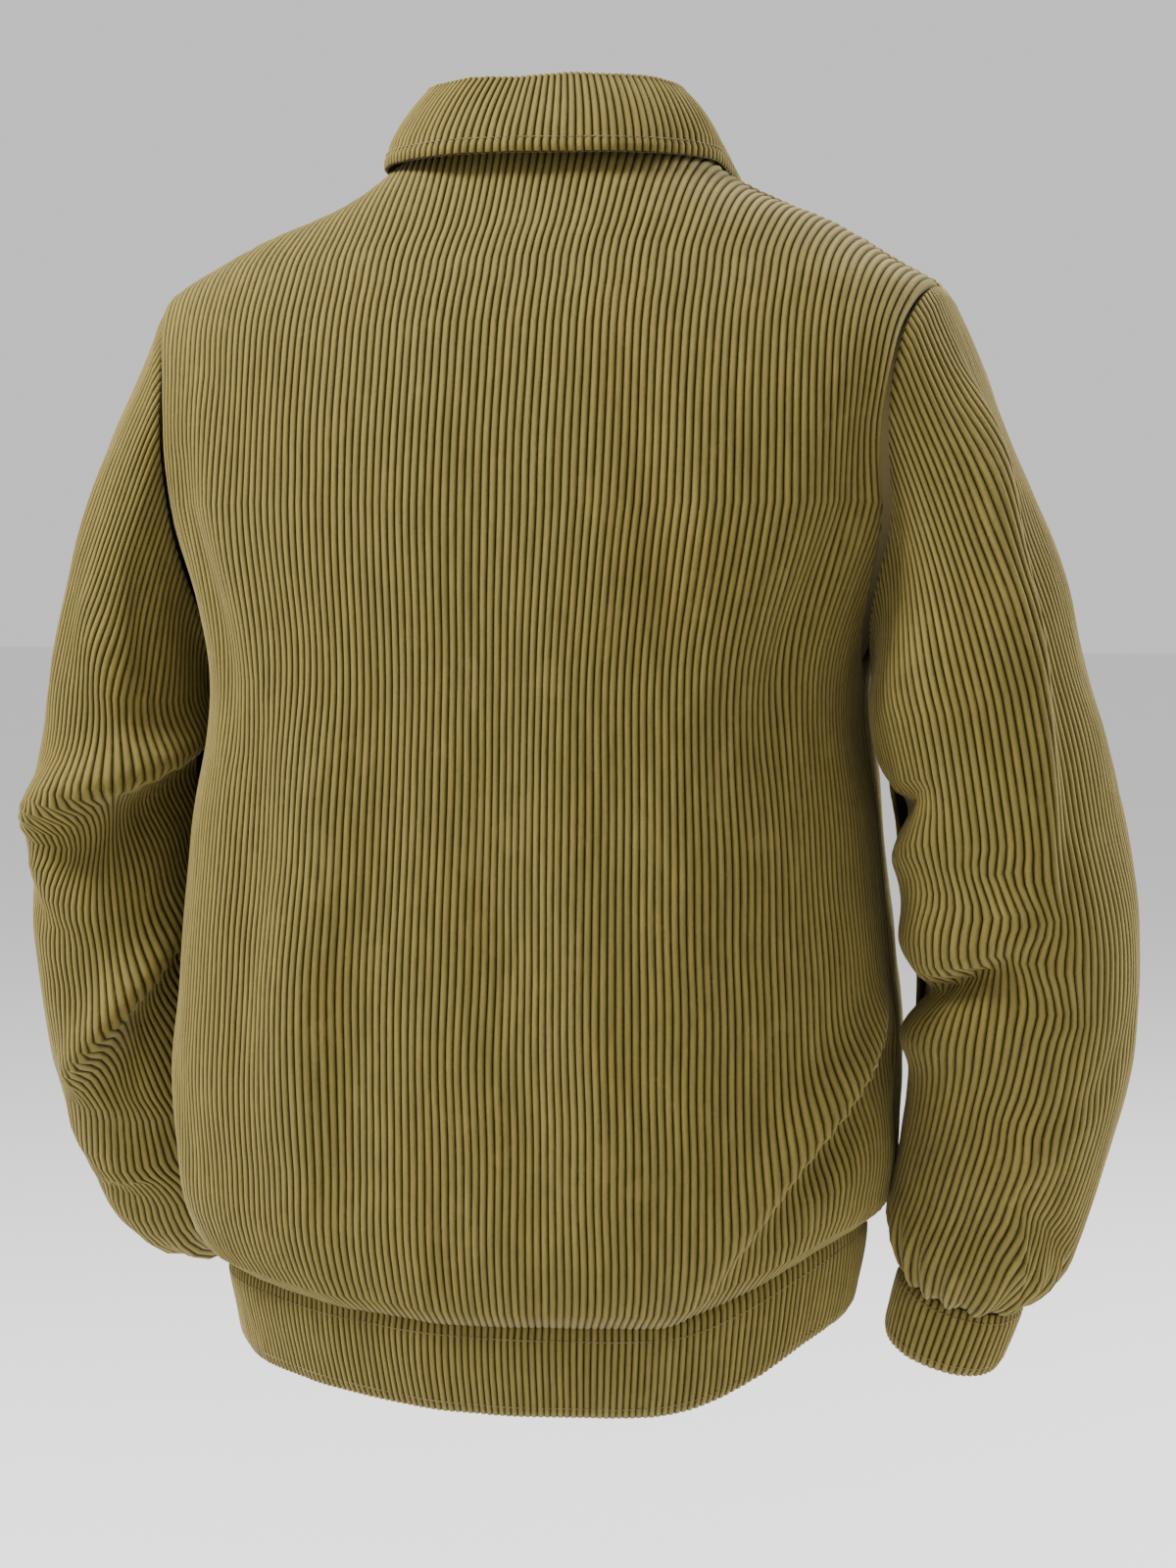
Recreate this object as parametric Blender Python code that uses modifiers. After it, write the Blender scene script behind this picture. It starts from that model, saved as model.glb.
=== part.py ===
"""Corduroy jacket, filled out as on a wearer and hollow: waist-length, with a turned-down collar,
a hem band, cuffs and a buttoned front.

Metres, +Z up. The front faces -Y and the wearer's left is +X. The origin is at the base of the
neck, in the middle of the shoulders, level with the neck seam at the centre back.
"""

import bpy
import numpy as np

WALL = 0.002           # thickness of the cloth
SEAM = 0.0004          # half of the gap between two pieces that are sewn together
EASE = 0.0006          # gap between layers that lie on each other
ARMHOLE_GAP = 0.002    # gap between a sleeve and the armhole that it is sewn into

NECK_HALF = 0.083      # half width of the neck opening, at the top of the shoulders
SHOULDER_HALF = 0.218  # half of the shoulder width, from armhole to armhole
CHEST_QUARTER = 0.286  # a quarter of the chest, from the centre line to the side seam
SHOULDER_POINT = -0.081  # height of the outer end of the shoulder line
ARMHOLE_TURN = -0.200  # height at which the armhole begins to curve out under the arm
UNDERARM = -0.285      # height of the bottom of the armhole
NECK_FRONT = -0.072    # height of the neck edge at the centre front
BACK_NECK_CURVE = 2.0  # powers that shape the neck edge from the centre line to the shoulder
FRONT_NECK_CURVE = 2.6
BAND_TOP = -0.638      # height of the seam between body and hem band
BAND_HEIGHT = 0.050
OVERLAP = 0.018        # how far each front runs past the centre line
OVERLAP_RAMP = 0.020   # width over which the upper front rises onto the lower one
HEM_LIFT_RIGHT = 0.042 # how much the hem rides up at the wearer's right
HEM_LIFT_LEFT = 0.010
HEM_LIFT_FROM = -0.400   # height below which the hem's rise begins
HEM_LIFT_START = 0.055 # distance out from the centre at which the hem's rise begins on the right
HEM_LIFT_REACH = 0.200 # and at which it is full
HEM_LIFT_TURN = 0.35   # how much further round the front than the back the rise on the right lies
CUFF_LENGTH = 0.042
CUFF_POINTS = 24       # points round a cuff
CUFF_TAPERS = (1.0, 0.985, 0.95)   # girth at the cuff's seam, middle and edge, as shares of the sleeve's
NECK_CENTRE = (-0.006, -0.030)
FALL_BULGE = 1.03      # how much wider the fall is halfway down than a straight line would make it
FALL_RISE = 0.002      # and how much higher
STAND_INSET = 0.95     # how much smaller the stand's top is than the fall's
STAND_DROP = 0.003     # how far the stand's top is below the fall's
STAND_FOOT = 0.97      # how much smaller the stand's foot is than the neck seam
STAND_CLEAR = 0.002    # how far the stand's foot is above the neck seam

# Level sections of the body. Half widths go to the side seams, and at the top to the shoulder line.
SECTIONS = np.array([
    # height, right half, left half, back depth, front depth, centre x, centre y, squareness
    (-0.638, 0.183, 0.188, 0.136, 0.118, 0.000, -0.021, 2.1),
    (-0.630, 0.192, 0.198, 0.140, 0.126, 0.000, -0.019, 2.2),
    (-0.610, 0.198, 0.204, 0.143, 0.131, 0.000, -0.015, 2.4),
    (-0.560, 0.201, 0.206, 0.141, 0.132, 0.000, -0.009, 2.6),
    (-0.480, 0.200, 0.203, 0.139, 0.132, 0.000, -0.004, 2.7),
    (-0.380, 0.188, 0.196, 0.138, 0.133, -0.004, 0.000, 2.7),
    (-0.285, 0.178, 0.189, 0.138, 0.134, -0.007, 0.000, 2.7),
    (-0.200, 0.214, 0.214, 0.135, 0.130, -0.007, 0.000, 2.6),
    (-0.135, 0.232, 0.232, 0.125, 0.122, -0.007, -0.002, 2.5),
    (-0.100, 0.229, 0.229, 0.115, 0.114, -0.006, -0.005, 2.4),
    (-0.081, 0.218, 0.218, 0.108, 0.107, -0.006, -0.008, 2.3),
    (-0.067, 0.194, 0.195, 0.101, 0.100, -0.005, -0.010, 2.3),
    (-0.050, 0.166, 0.166, 0.092, 0.088, -0.006, -0.014, 2.25),
    (-0.026, 0.113, 0.111, 0.078, 0.070, -0.006, -0.018, 2.2),
    (-0.006, 0.083, 0.083, 0.067, 0.055, -0.006, -0.020, 2.2),
    (0.004, 0.072, 0.072, 0.062, 0.050, -0.006, -0.020, 2.2),
])

# Level sections of the hem band, with the same columns.
BAND_SECTIONS = np.array([
    (-0.688, 0.174, 0.180, 0.130, 0.114, 0.000, -0.024, 2.05),
    (-0.663, 0.180, 0.185, 0.134, 0.117, 0.000, -0.022, 2.05),
    (-0.638, 0.183, 0.188, 0.136, 0.118, 0.000, -0.021, 2.1),
])

# The arm's line from the bottom of the armhole to the cuff seam, and the sleeve's reach from it.
SLEEVES = {
    "right": np.array([
        # x, y, z, outward, inward, fore and aft
        (-0.248, 0.018, -0.300, 0.059, 0.056, 0.078),
        (-0.264, 0.012, -0.370, 0.060, 0.060, 0.072),
        (-0.273, 0.000, -0.445, 0.062, 0.061, 0.068),
        (-0.268, -0.014, -0.508, 0.059, 0.058, 0.064),
        (-0.254, -0.028, -0.570, 0.054, 0.053, 0.059),
        (-0.241, -0.037, -0.612, 0.047, 0.046, 0.053),
        (-0.235, -0.041, -0.630, 0.037, 0.035, 0.040),
    ]),
    "left": np.array([
        (0.235, 0.002, -0.300, 0.045, 0.044, 0.076),
        (0.247, -0.002, -0.370, 0.050, 0.047, 0.070),
        (0.254, -0.014, -0.440, 0.050, 0.047, 0.067),
        (0.255, -0.038, -0.505, 0.053, 0.048, 0.063),
        (0.250, -0.073, -0.562, 0.057, 0.050, 0.060),
        (0.239, -0.105, -0.601, 0.055, 0.047, 0.057),
        (0.227, -0.126, -0.607, 0.037, 0.035, 0.040),
    ]),
}
SLEEVE_SQUARENESS = 2.2
ARM_STEP = 0.004       # distance along the arm's line over which its direction is measured
CAP_LEAVE_TOP = (0.40, -0.917)       # outward and upward parts of the direction in which the cloth
CAP_LEAVE_UNDERARM = (0.40, -0.917)  # leaves the armhole, at the shoulder and under the arm

# The collar, from the centre back round to the centre front: its folded top and its free edge.
COLLAR = np.array([
    # turn in degrees, top x, y, z, edge x, y, z
    (0, 0.000, 0.036, 0.032, 0.000, 0.066, -0.011),
    (35, 0.040, 0.030, 0.032, 0.053, 0.057, -0.011),
    (70, 0.069, 0.004, 0.031, 0.090, 0.020, -0.011),
    (95, 0.073, -0.022, 0.027, 0.099, -0.018, -0.013),
    (120, 0.067, -0.054, 0.015, 0.099, -0.070, -0.028),
    (150, 0.041, -0.092, -0.009, 0.084, -0.118, -0.080),
    (168, 0.018, -0.108, -0.033, 0.066, -0.129, -0.118),
    (178, 0.004, -0.114, -0.048, 0.048, -0.134, -0.142),
])

# Large folds, as soft valleys (below zero) and ridges. On the body, around is the distance from
# the centre back, positive towards the wearer's left, and along is the height.
BODY_FOLDS = np.array([
    # around, along, around, along, half width, height
    (-0.262, -0.520, -0.135, -0.630, 0.018, -0.010),
    (-0.250, -0.490, -0.170, -0.580, 0.020, 0.005),
    (0.110, -0.420, 0.125, -0.600, 0.022, 0.004),
    (0.070, -0.430, 0.075, -0.610, 0.018, -0.004),
])

# On a sleeve, around is the share of its girth from the outer side towards the back, times the
# girth, and along is the distance below the shoulder.
SLEEVE_FOLDS = {
    "right": np.array([
        (0.110, 0.353, 0.160, 0.376, 0.010, -0.011),
        (0.165, 0.378, 0.235, 0.394, 0.015, -0.013),
        (0.110, 0.328, 0.195, 0.352, 0.015, 0.008),
        (0.120, 0.392, 0.215, 0.424, 0.015, 0.007),
        (0.150, 0.262, 0.235, 0.280, 0.015, -0.012),
    ]),
    "left": np.array([
        (0.055, 0.300, 0.190, 0.237, 0.013, 0.010),
        (0.090, 0.316, 0.215, 0.262, 0.017, -0.016),
        (0.085, 0.430, 0.185, 0.335, 0.011, 0.009),
        (0.110, 0.440, 0.200, 0.366, 0.014, -0.012),
    ]),
}
SLEEVE_GIRTH = 0.430

BUTTON_HEIGHTS = (-0.100, -0.220, -0.340, -0.460, -0.580, -0.664)
BUTTON_RADIUS = 0.0085
BUTTON_THICKNESS = 0.0032
BUTTON_ROUNDING = 0.0009
BUTTON_SLOPE_STEP = 0.010   # distance above and below a button over which the front's slope is measured

# Places of the mesh lines across the panels, from the centre line to the side seam.
SHOULDER_LINES = (NECK_HALF, 0.113, 0.142, 0.170, 0.196, SHOULDER_HALF)
UNDERARM_LINES = (0.232, 0.248, 0.266)
BACK_LINES = (0.000, 0.028, 0.056)
FRONT_LINES_FROM = 0.060   # the first line of the plain front, past the overlap
FRONT_LINES = (-OVERLAP, 0.000, OVERLAP, OVERLAP + OVERLAP_RAMP, FRONT_LINES_FROM)
LOWER_ROWS = 12
UPPER_ROWS = 7
CAP_ROWS = 7
TUBE_ROWS = 11
BAND_LINES = 12        # mesh lines across a quarter of the hem band
BAND_LINES_END = 0.264 # the last of them before the side seam
COLLAR_TURNS = (0, 18, 36, 54, 70, 84, 98, 112, 126, 140, 152, 162, 171, 178)
RING_POINTS = 241      # points that measure the way round a section


def smooth_step(share):
    """Rises from 0 to 1 with no corner at either end."""
    share = np.clip(share, 0.0, 1.0)
    return share * share * (3.0 - 2.0 * share)


def through(places, values, at):
    """Reads a smooth line through a table's values. The places go up."""
    slopes = np.gradient(values, places, axis=0)
    at = np.clip(np.asarray(at, float), places[0], places[-1])
    low = np.clip(np.searchsorted(places, at) - 1, 0, len(places) - 2)
    step = places[low + 1] - places[low]
    share = (at - places[low]) / step
    if values.ndim > 1:
        share = share[..., None]
        step = step[..., None]
    rest = 1.0 - share
    return ((1.0 + 2.0 * share) * rest * rest * values[low] + share * rest * rest * step * slopes[low]
            + share * share * (3.0 - 2.0 * share) * values[low + 1]
            - share * share * rest * step * slopes[low + 1])


def fold_height(around, along, folds):
    """How far the folds lift the cloth at each place. A negative height is a valley."""
    total = np.zeros(np.broadcast(around, along).shape)
    for a0, t0, a1, t1, half_width, height in folds:
        run = np.array([a1 - a0, t1 - t0])
        length = np.hypot(*run)
        share = np.clip(((around - a0) * run[0] + (along - t0) * run[1]) / length ** 2, 0.0, 1.0)
        off = np.hypot(around - a0 - share * run[0], along - t0 - share * run[1])
        total = total + height * np.exp(-(off / half_width) ** 2) * np.sin(np.pi * (0.15 + 0.7 * share))
    return total


def section(table, height):
    """The section at each height: one array for each column of the table after the first."""
    values = through(table[:, 0], table[:, 1:], height)
    return np.moveaxis(values, -1, 0)


def quarter_point(table, height, side, back, arc):
    """The level point that lies a given way round from the centre line, for one height."""
    right, left, deep_back, deep_front, middle, centre, square = section(table, np.array(height))
    half = left if side > 0 else right
    depth = deep_back if back else -deep_front
    turn = np.linspace(0.0, np.pi / 2, RING_POINTS)
    x = half * np.sin(turn) ** (2.0 / square)
    y = depth * np.cos(turn) ** (2.0 / square)
    way = np.concatenate([[0.0], np.cumsum(np.hypot(np.diff(x), np.diff(y)))])
    wanted = np.abs(arc) / CHEST_QUARTER * way[-1]
    across = middle + side * np.sign(arc) * np.interp(wanted, way, x)
    return across, centre + np.interp(wanted, way, y)


def armhole_height(arc):
    """Top of the panel outside the shoulder width: the armhole's curve under the arm."""
    share = (np.abs(arc) - SHOULDER_HALF) / (CHEST_QUARTER - SHOULDER_HALF)
    share = np.clip(share, 0.0, 1.0)
    return ARMHOLE_TURN + (UNDERARM - ARMHOLE_TURN) * (1.0 - (1.0 - share) ** 2)


def top_height(arc, back):
    """Top of the panel inside the shoulder width: the shoulder line, then the neck edge."""
    across = np.abs(arc)
    heights = np.linspace(SECTIONS[-1, 0], SHOULDER_POINT, RING_POINTS)
    halves = section(SECTIONS, heights)[0]
    shoulder = np.interp(across, halves, heights)
    point = np.interp(NECK_HALF, halves, heights)
    middle = 0.0 if back else NECK_FRONT
    curve = BACK_NECK_CURVE if back else FRONT_NECK_CURVE
    neck = middle + (point - middle) * (across / NECK_HALF) ** curve
    return np.where(across < NECK_HALF, neck, shoulder)


def lift(x, y, height):
    """How far the lower body is raised at its sides."""
    low = smooth_step((HEM_LIFT_FROM - height) / (HEM_LIFT_FROM - BAND_TOP))
    out = -x - HEM_LIFT_TURN * y
    right = HEM_LIFT_RIGHT * smooth_step((out - HEM_LIFT_START) / (HEM_LIFT_REACH - HEM_LIFT_START))
    left = HEM_LIFT_LEFT * smooth_step(x / HEM_LIFT_REACH)
    return low * (right + left)


def body_grid(side, back, arcs, rows):
    """Points of one half of a body panel. arcs go out from the centre line; rows are a pair of
    lists of shares, first up to the armhole's turn and then on to the shoulder."""
    lower, upper = rows
    grid = np.full((len(lower) + len(upper), len(arcs), 3), np.nan)
    bottom = BAND_TOP + SEAM
    middle = np.where(np.abs(arcs) > SHOULDER_HALF, armhole_height(arcs), ARMHOLE_TURN)
    for j, arc in enumerate(arcs):
        for i, share in enumerate(lower):
            height = bottom + (middle[j] - bottom) * share
            x, y = quarter_point(SECTIONS, height, side, back, arc)
            grid[i, j] = x, y, height
    inside = np.abs(arcs) <= SHOULDER_HALF + 1e-9
    low_x = quarter_point(SECTIONS, ARMHOLE_TURN, side, back, arcs)[0]
    low_x = low_x - section(SECTIONS, np.array(ARMHOLE_TURN))[4]
    top_x = side * arcs
    tops = top_height(arcs, back)
    for i, share in enumerate(upper):
        reach = 1.0 - (1.0 - share) ** 2
        height = ARMHOLE_TURN + (tops - ARMHOLE_TURN) * reach
        x = low_x + (top_x - low_x) * reach ** 3
        right, left, deep_back, deep_front, middle, centre, square = section(SECTIONS, height)
        half = left if side > 0 else right
        depth = deep_back if back else -deep_front
        part = np.clip(1.0 - (np.abs(x) / half) ** square, 0.0, 1.0)
        y = centre + depth * part ** (1.0 / square)
        grid[len(lower) + i, inside] = np.stack([x + middle, y, height], axis=-1)[inside]
    return grid


def grid_normals(grid, closed=False):
    """Unit normals of a grid of points, from its neighbours; empty places stay empty."""
    if closed:
        across = np.roll(grid, -1, axis=1) - np.roll(grid, 1, axis=1)
    else:
        across = difference(grid, 1)
    normal = np.cross(across, difference(grid, 0))
    return normal / np.maximum(np.linalg.norm(normal, axis=-1, keepdims=True), 1e-12)


def difference(grid, axis):
    """Central differences that become one-sided beside an edge or an empty place."""
    forward = np.roll(grid, -1, axis=axis) - grid
    backward = grid - np.roll(grid, 1, axis=axis)
    last = [slice(None)] * 3
    first = [slice(None)] * 3
    last[axis] = -1
    first[axis] = 0
    forward[tuple(last)] = np.nan
    backward[tuple(first)] = np.nan
    both = 0.5 * (forward + backward)
    return np.where(np.isnan(both), np.where(np.isnan(forward), backward, forward), both)


def arm_frames(table, shares):
    """Centres, directions and reaches of the sleeve's sections at shares of the arm's length."""
    way = np.concatenate([[0.0], np.cumsum(np.linalg.norm(np.diff(table[:, :3], axis=0), axis=1))])
    at = np.asarray(shares) * way[-1]
    values = through(way, table, at)
    ahead = through(way, table[:, :3], at + ARM_STEP)
    behind = through(way, table[:, :3], at - ARM_STEP)
    down = ahead - behind
    down /= np.linalg.norm(down, axis=1, keepdims=True)
    out = np.array([np.sign(table[0, 0]), 0.0, 0.0]) - down * (down[:, :1] * np.sign(table[0, 0]))
    out /= np.linalg.norm(out, axis=1, keepdims=True)
    aft = np.cross(down, out) * np.sign(table[0, 0])
    aft *= np.sign(aft[:, 1:2])
    return values[:, :3], down, out, aft, values[:, 3:]


def arm_ring(centre, out, aft, reach, shares):
    """Points round one section of the sleeve. Share 0 is its outer side and 1/4 its back."""
    turn = np.linspace(0.0, 2.0 * np.pi, 4 * RING_POINTS)
    power = 2.0 / SLEEVE_SQUARENESS
    x = np.sign(np.cos(turn)) * np.abs(np.cos(turn)) ** power
    x = np.where(x > 0.0, reach[0], reach[1]) * x
    y = reach[2] * np.sign(np.sin(turn)) * np.abs(np.sin(turn)) ** power
    way = np.concatenate([[0.0], np.cumsum(np.hypot(np.diff(x), np.diff(y)))])
    wanted = np.asarray(shares) * way[-1]
    x = np.interp(wanted, way, x)
    y = np.interp(wanted, way, y)
    return centre + x[:, None] * out + y[:, None] * aft


def armhole_loop(side, rows, arcs):
    """The armhole's edge from the shoulder point down the back, under the arm and up the front."""
    halves = []
    for back in (True, False):
        grid = body_grid(side, back, arcs, rows)
        turn = len(rows[0]) - 1
        column = int(np.argmin(np.abs(arcs - SHOULDER_HALF)))
        upright = grid[turn:, column][::-1]
        below = grid[turn, column + 1:]
        halves.append(np.concatenate([upright, below]))
    return np.concatenate([halves[0], halves[1][-2:0:-1]])


def loop_shares(loop):
    """Share of the way round at each point of a closed loop, with the underarm point at a half."""
    steps = np.linalg.norm(np.roll(loop, -1, axis=0) - loop, axis=1)
    way = np.concatenate([[0.0], np.cumsum(steps)[:-1]])
    lowest = int(np.argmin(loop[:, 2]))
    total = steps.sum()
    return np.where(way <= way[lowest], 0.5 * way / way[lowest],
                    0.5 + 0.5 * (way - way[lowest]) / (total - way[lowest]))


def sleeve_grid(name, loop, shares, cap_rows, tube_rows):
    """Points of a sleeve: rows go from the armhole to the cuff seam, columns round the arm."""
    table = SLEEVES[name]
    side = np.sign(table[0, 0])
    centres, down, out, aft, reach = arm_frames(table, tube_rows)
    rings = np.array([arm_ring(centres[i], out[i], aft[i], reach[i], shares) for i in range(len(centres))])
    start = loop + np.array([side * ARMHOLE_GAP, 0.0, -0.5 * ARMHOLE_GAP])
    span = np.linalg.norm(rings[0] - start, axis=1, keepdims=True)
    upper = 0.5 + 0.5 * np.cos(2.0 * np.pi * shares)[:, None]
    top = np.array([side * CAP_LEAVE_TOP[0], 0.0, CAP_LEAVE_TOP[1]])
    under = np.array([side * CAP_LEAVE_UNDERARM[0], 0.0, CAP_LEAVE_UNDERARM[1]])
    leave = top * upper + under * (1.0 - upper)
    rows = []
    for share in cap_rows:
        rest = 1.0 - share
        rows.append((1.0 + 2.0 * share) * rest * rest * start + share * rest * rest * span * leave
                    + share * share * (3.0 - 2.0 * share) * rings[0]
                    - share * share * rest * span * down[0])
    return np.concatenate([np.array(rows), rings[1:]])


def new_material(name, colour, roughness):
    """A Principled material with one colour and roughness."""
    material = bpy.data.materials.new(name)
    material.use_nodes = True
    shader = material.node_tree.nodes["Principled BSDF"]
    shader.inputs["Base Color"].default_value = (*colour, 1.0)
    shader.inputs["Roughness"].default_value = roughness
    shader.inputs["Metallic"].default_value = 0.0
    return material


def shell(name, grid, material, home, closed=False, flip=False, wall=WALL):
    """A cloth wall with the grid's surface as its outer side. Empty places in the grid stay open."""
    count_rows, count_columns = grid.shape[:2]
    used = ~np.isnan(grid[..., 0])
    number = np.full(used.shape, -1)
    number[used] = np.arange(used.sum())
    faces = []
    for i in range(count_rows - 1):
        for j in range(count_columns if closed else count_columns - 1):
            k = (j + 1) % count_columns
            corners = [number[i, j], number[i, k], number[i + 1, k], number[i + 1, j]]
            if min(corners) >= 0:
                faces.append([int(c) for c in (corners[::-1] if flip else corners)])
    mesh = bpy.data.meshes.new(name)
    mesh.from_pydata([tuple(map(float, point)) for point in grid[used]], [], faces)
    mesh.materials.append(material)
    mesh.shade_smooth()
    piece = bpy.data.objects.new(name, mesh)
    home.objects.link(piece)
    thick = piece.modifiers.new("wall", "SOLIDIFY")
    thick.thickness = wall
    thick.offset = -1.0
    thick.use_even_offset = True
    thick.use_rim = True
    return piece


def level_body(grid, arcs, back, side):
    """Adds the large folds and the raised hem to a body grid."""
    around = arcs[None, :] * side if back else side * (2.0 * CHEST_QUARTER - arcs)[None, :]
    normals = side * (-1.0 if back else 1.0) * grid_normals(grid)
    grid = grid + normals * fold_height(around, grid[..., 2], BODY_FOLDS)[..., None]
    grid[..., 2] += lift(grid[..., 0], grid[..., 1], grid[..., 2])
    return grid


def main():
    """Builds every piece of the jacket."""
    for old in list(bpy.data.objects):
        bpy.data.objects.remove(old)
    home = bpy.data.collections.new("corduroy_jacket")
    bpy.context.scene.collection.children.link(home)
    corduroy = new_material("corduroy", (0.150, 0.115, 0.022), 0.9)
    plastic = new_material("button_plastic", (0.045, 0.028, 0.012), 0.35)
    rows = (np.linspace(0.0, 1.0, LOWER_ROWS + 1), np.linspace(0.0, 1.0, UPPER_ROWS + 1)[1:])
    make_back(home, corduroy, rows)
    make_front("front_right", -1, home, corduroy, rows)
    make_front("front_left", 1, home, corduroy, rows)
    make_hem_band(home, corduroy)
    for name, side in (("right", -1), ("left", 1)):
        make_sleeve(name, side, home, corduroy, rows)
    make_collar(home, corduroy)
    make_buttons(home, plastic)


def make_back(home, material, rows):
    """The back: one panel from side seam to side seam, up to the shoulders and the neck."""
    arcs = np.array(BACK_LINES + SHOULDER_LINES + UNDERARM_LINES + (CHEST_QUARTER - SEAM,))
    left = level_body(body_grid(1, True, arcs, rows), arcs, True, 1)
    right = level_body(body_grid(-1, True, arcs, rows), arcs, True, -1)
    grid = np.concatenate([right[:, :0:-1], left], axis=1)
    grid[-1, ..., 1] += SEAM
    shell("back", grid, material, home, flip=True)


def make_front(name, side, home, material, rows):
    """A front, from its edge past the centre line to the side seam."""
    arcs = np.array(FRONT_LINES + SHOULDER_LINES + UNDERARM_LINES + (CHEST_QUARTER - SEAM,))
    grid = level_body(body_grid(side, False, arcs, rows), arcs, False, side)
    if side > 0:
        raised = 1.0 - smooth_step((arcs - OVERLAP) / OVERLAP_RAMP)
        grid[..., 1] -= (WALL + EASE) * raised[None, :]
    grid[-1, ..., 1] -= SEAM
    shell(name, grid, material, home, flip=side < 0)


def make_hem_band(home, material):
    """The hem band: one strip round the hips, open at the centre front, left end over right."""
    lines = np.append(np.linspace(0.0, BAND_LINES_END, BAND_LINES), CHEST_QUARTER)
    plain = np.linspace(FRONT_LINES_FROM, BAND_LINES_END, BAND_LINES - 3)
    front = np.concatenate([FRONT_LINES[:-1], plain])
    heights = np.linspace(BAND_TOP - BAND_HEIGHT, BAND_TOP - SEAM, 3)
    strips = []
    for side, back, arcs in ((-1, False, front), (-1, True, lines[::-1]), (1, True, lines[1:]),
                             (1, False, front[::-1])):
        grid = np.empty((len(heights), len(arcs), 3))
        for i, height in enumerate(heights):
            x, y = quarter_point(BAND_SECTIONS, height, side, back, arcs)
            grid[i] = np.stack([x, y, np.full(len(arcs), height)], axis=-1)
        if side > 0 and not back:
            raised = 1.0 - smooth_step((arcs - OVERLAP) / OVERLAP_RAMP)
            grid[..., 1] -= (WALL + EASE) * raised[None, :]
        strips.append(grid)
    grid = np.concatenate(strips, axis=1)
    grid[..., 2] += lift(grid[..., 0], grid[..., 1], np.full(grid.shape[:2], BAND_TOP))
    shell("hem_band", grid, material, home, flip=True)


def make_sleeve(name, side, home, material, rows):
    """A sleeve and its cuff. The sleeve's upper edge follows the armhole."""
    arcs = np.array(BACK_LINES + SHOULDER_LINES + UNDERARM_LINES + (CHEST_QUARTER,))
    loop = armhole_loop(side, rows, arcs)
    shares = loop_shares(loop)
    cap = np.linspace(0.0, 1.0, CAP_ROWS + 1)
    tube = np.linspace(0.0, 1.0, TUBE_ROWS + 1)
    grid = sleeve_grid(name, loop, shares, cap, tube)
    steps = np.linalg.norm(np.diff(grid, axis=0), axis=2)
    along = np.concatenate([np.zeros((1, grid.shape[1])), np.cumsum(steps, axis=0)])
    along = along - along[CAP_ROWS] + along[CAP_ROWS].max()
    lifted = fold_height(shares[None, :] * SLEEVE_GIRTH, along, SLEEVE_FOLDS[name])[..., None]
    grid = grid - side * grid_normals(grid, closed=True) * lifted
    shell("sleeve_" + name, grid, material, home, closed=True, flip=side > 0)
    make_cuff(name, side, home, material)


def make_cuff(name, side, home, material):
    """A plain closed cuff that carries the sleeve's line on from its seam."""
    table = SLEEVES[name]
    centres, down, out, aft, reach = arm_frames(table, [1.0])
    shares = np.linspace(0.0, 1.0, CUFF_POINTS + 1)[:-1]
    rings = []
    for along, taper in zip((2.0 * SEAM, CUFF_LENGTH / 2, CUFF_LENGTH), CUFF_TAPERS):
        rings.append(arm_ring(centres[0] + down[0] * along, out[0], aft[0], reach[0] * taper, shares))
    shell("cuff_" + name, np.array(rings), material, home, closed=True, flip=side > 0)


def make_collar(home, material):
    """The collar: a stand that rises from the neck seam, and a fall turned down over it."""
    turns = np.array(COLLAR_TURNS, float)
    values = through(COLLAR[:, 0], COLLAR[:, 1:], turns)
    top, edge = values[:, :3], values[:, 3:]
    middle = 0.5 * (top + edge)
    middle[:, :2] *= FALL_BULGE
    middle[:, 2] += FALL_RISE
    half = np.stack([edge, middle, top])
    shell("collar_fall", both_sides(half), material, home, flip=True)
    seam = neck_seam(turns)
    inner = top.copy()
    inner[:, :2] = (inner[:, :2] - [0.0, NECK_CENTRE[1]]) * STAND_INSET + [0.0, NECK_CENTRE[1]]
    inner[:, 2] -= STAND_DROP
    stand = np.stack([seam, 0.5 * (seam + inner), inner])
    shell("collar_stand", both_sides(stand), material, home, flip=True)


def both_sides(half):
    """Mirrors half of the collar, and centres the whole on the neck."""
    other = half[:, :0:-1] * np.array([-1.0, 1.0, 1.0])
    return np.concatenate([other, half], axis=1) + np.array([NECK_CENTRE[0], 0.0, 0.0])


def neck_seam(turns):
    """Points just above the body's neck edge, from the centre back to the centre front."""
    points = []
    for back in (True, False):
        arcs = np.linspace(0.0, NECK_HALF, 60)
        edge = body_grid(1, back, arcs, (np.array([1.0]), np.array([1.0])))[-1]
        points.append(edge)
    edge = np.concatenate([points[0], points[1][-2::-1]])
    way = np.concatenate([[0.0], np.cumsum(np.linalg.norm(np.diff(edge, axis=0), axis=1))])
    wanted = turns / 180.0 * way[-1]
    seam = np.stack([np.interp(wanted, way, edge[:, k]) for k in range(3)], axis=-1)
    seam[:, :2] = (seam[:, :2] - NECK_CENTRE) * STAND_FOOT + [0.0, NECK_CENTRE[1]]
    seam[:, 2] += STAND_CLEAR
    return seam


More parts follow.
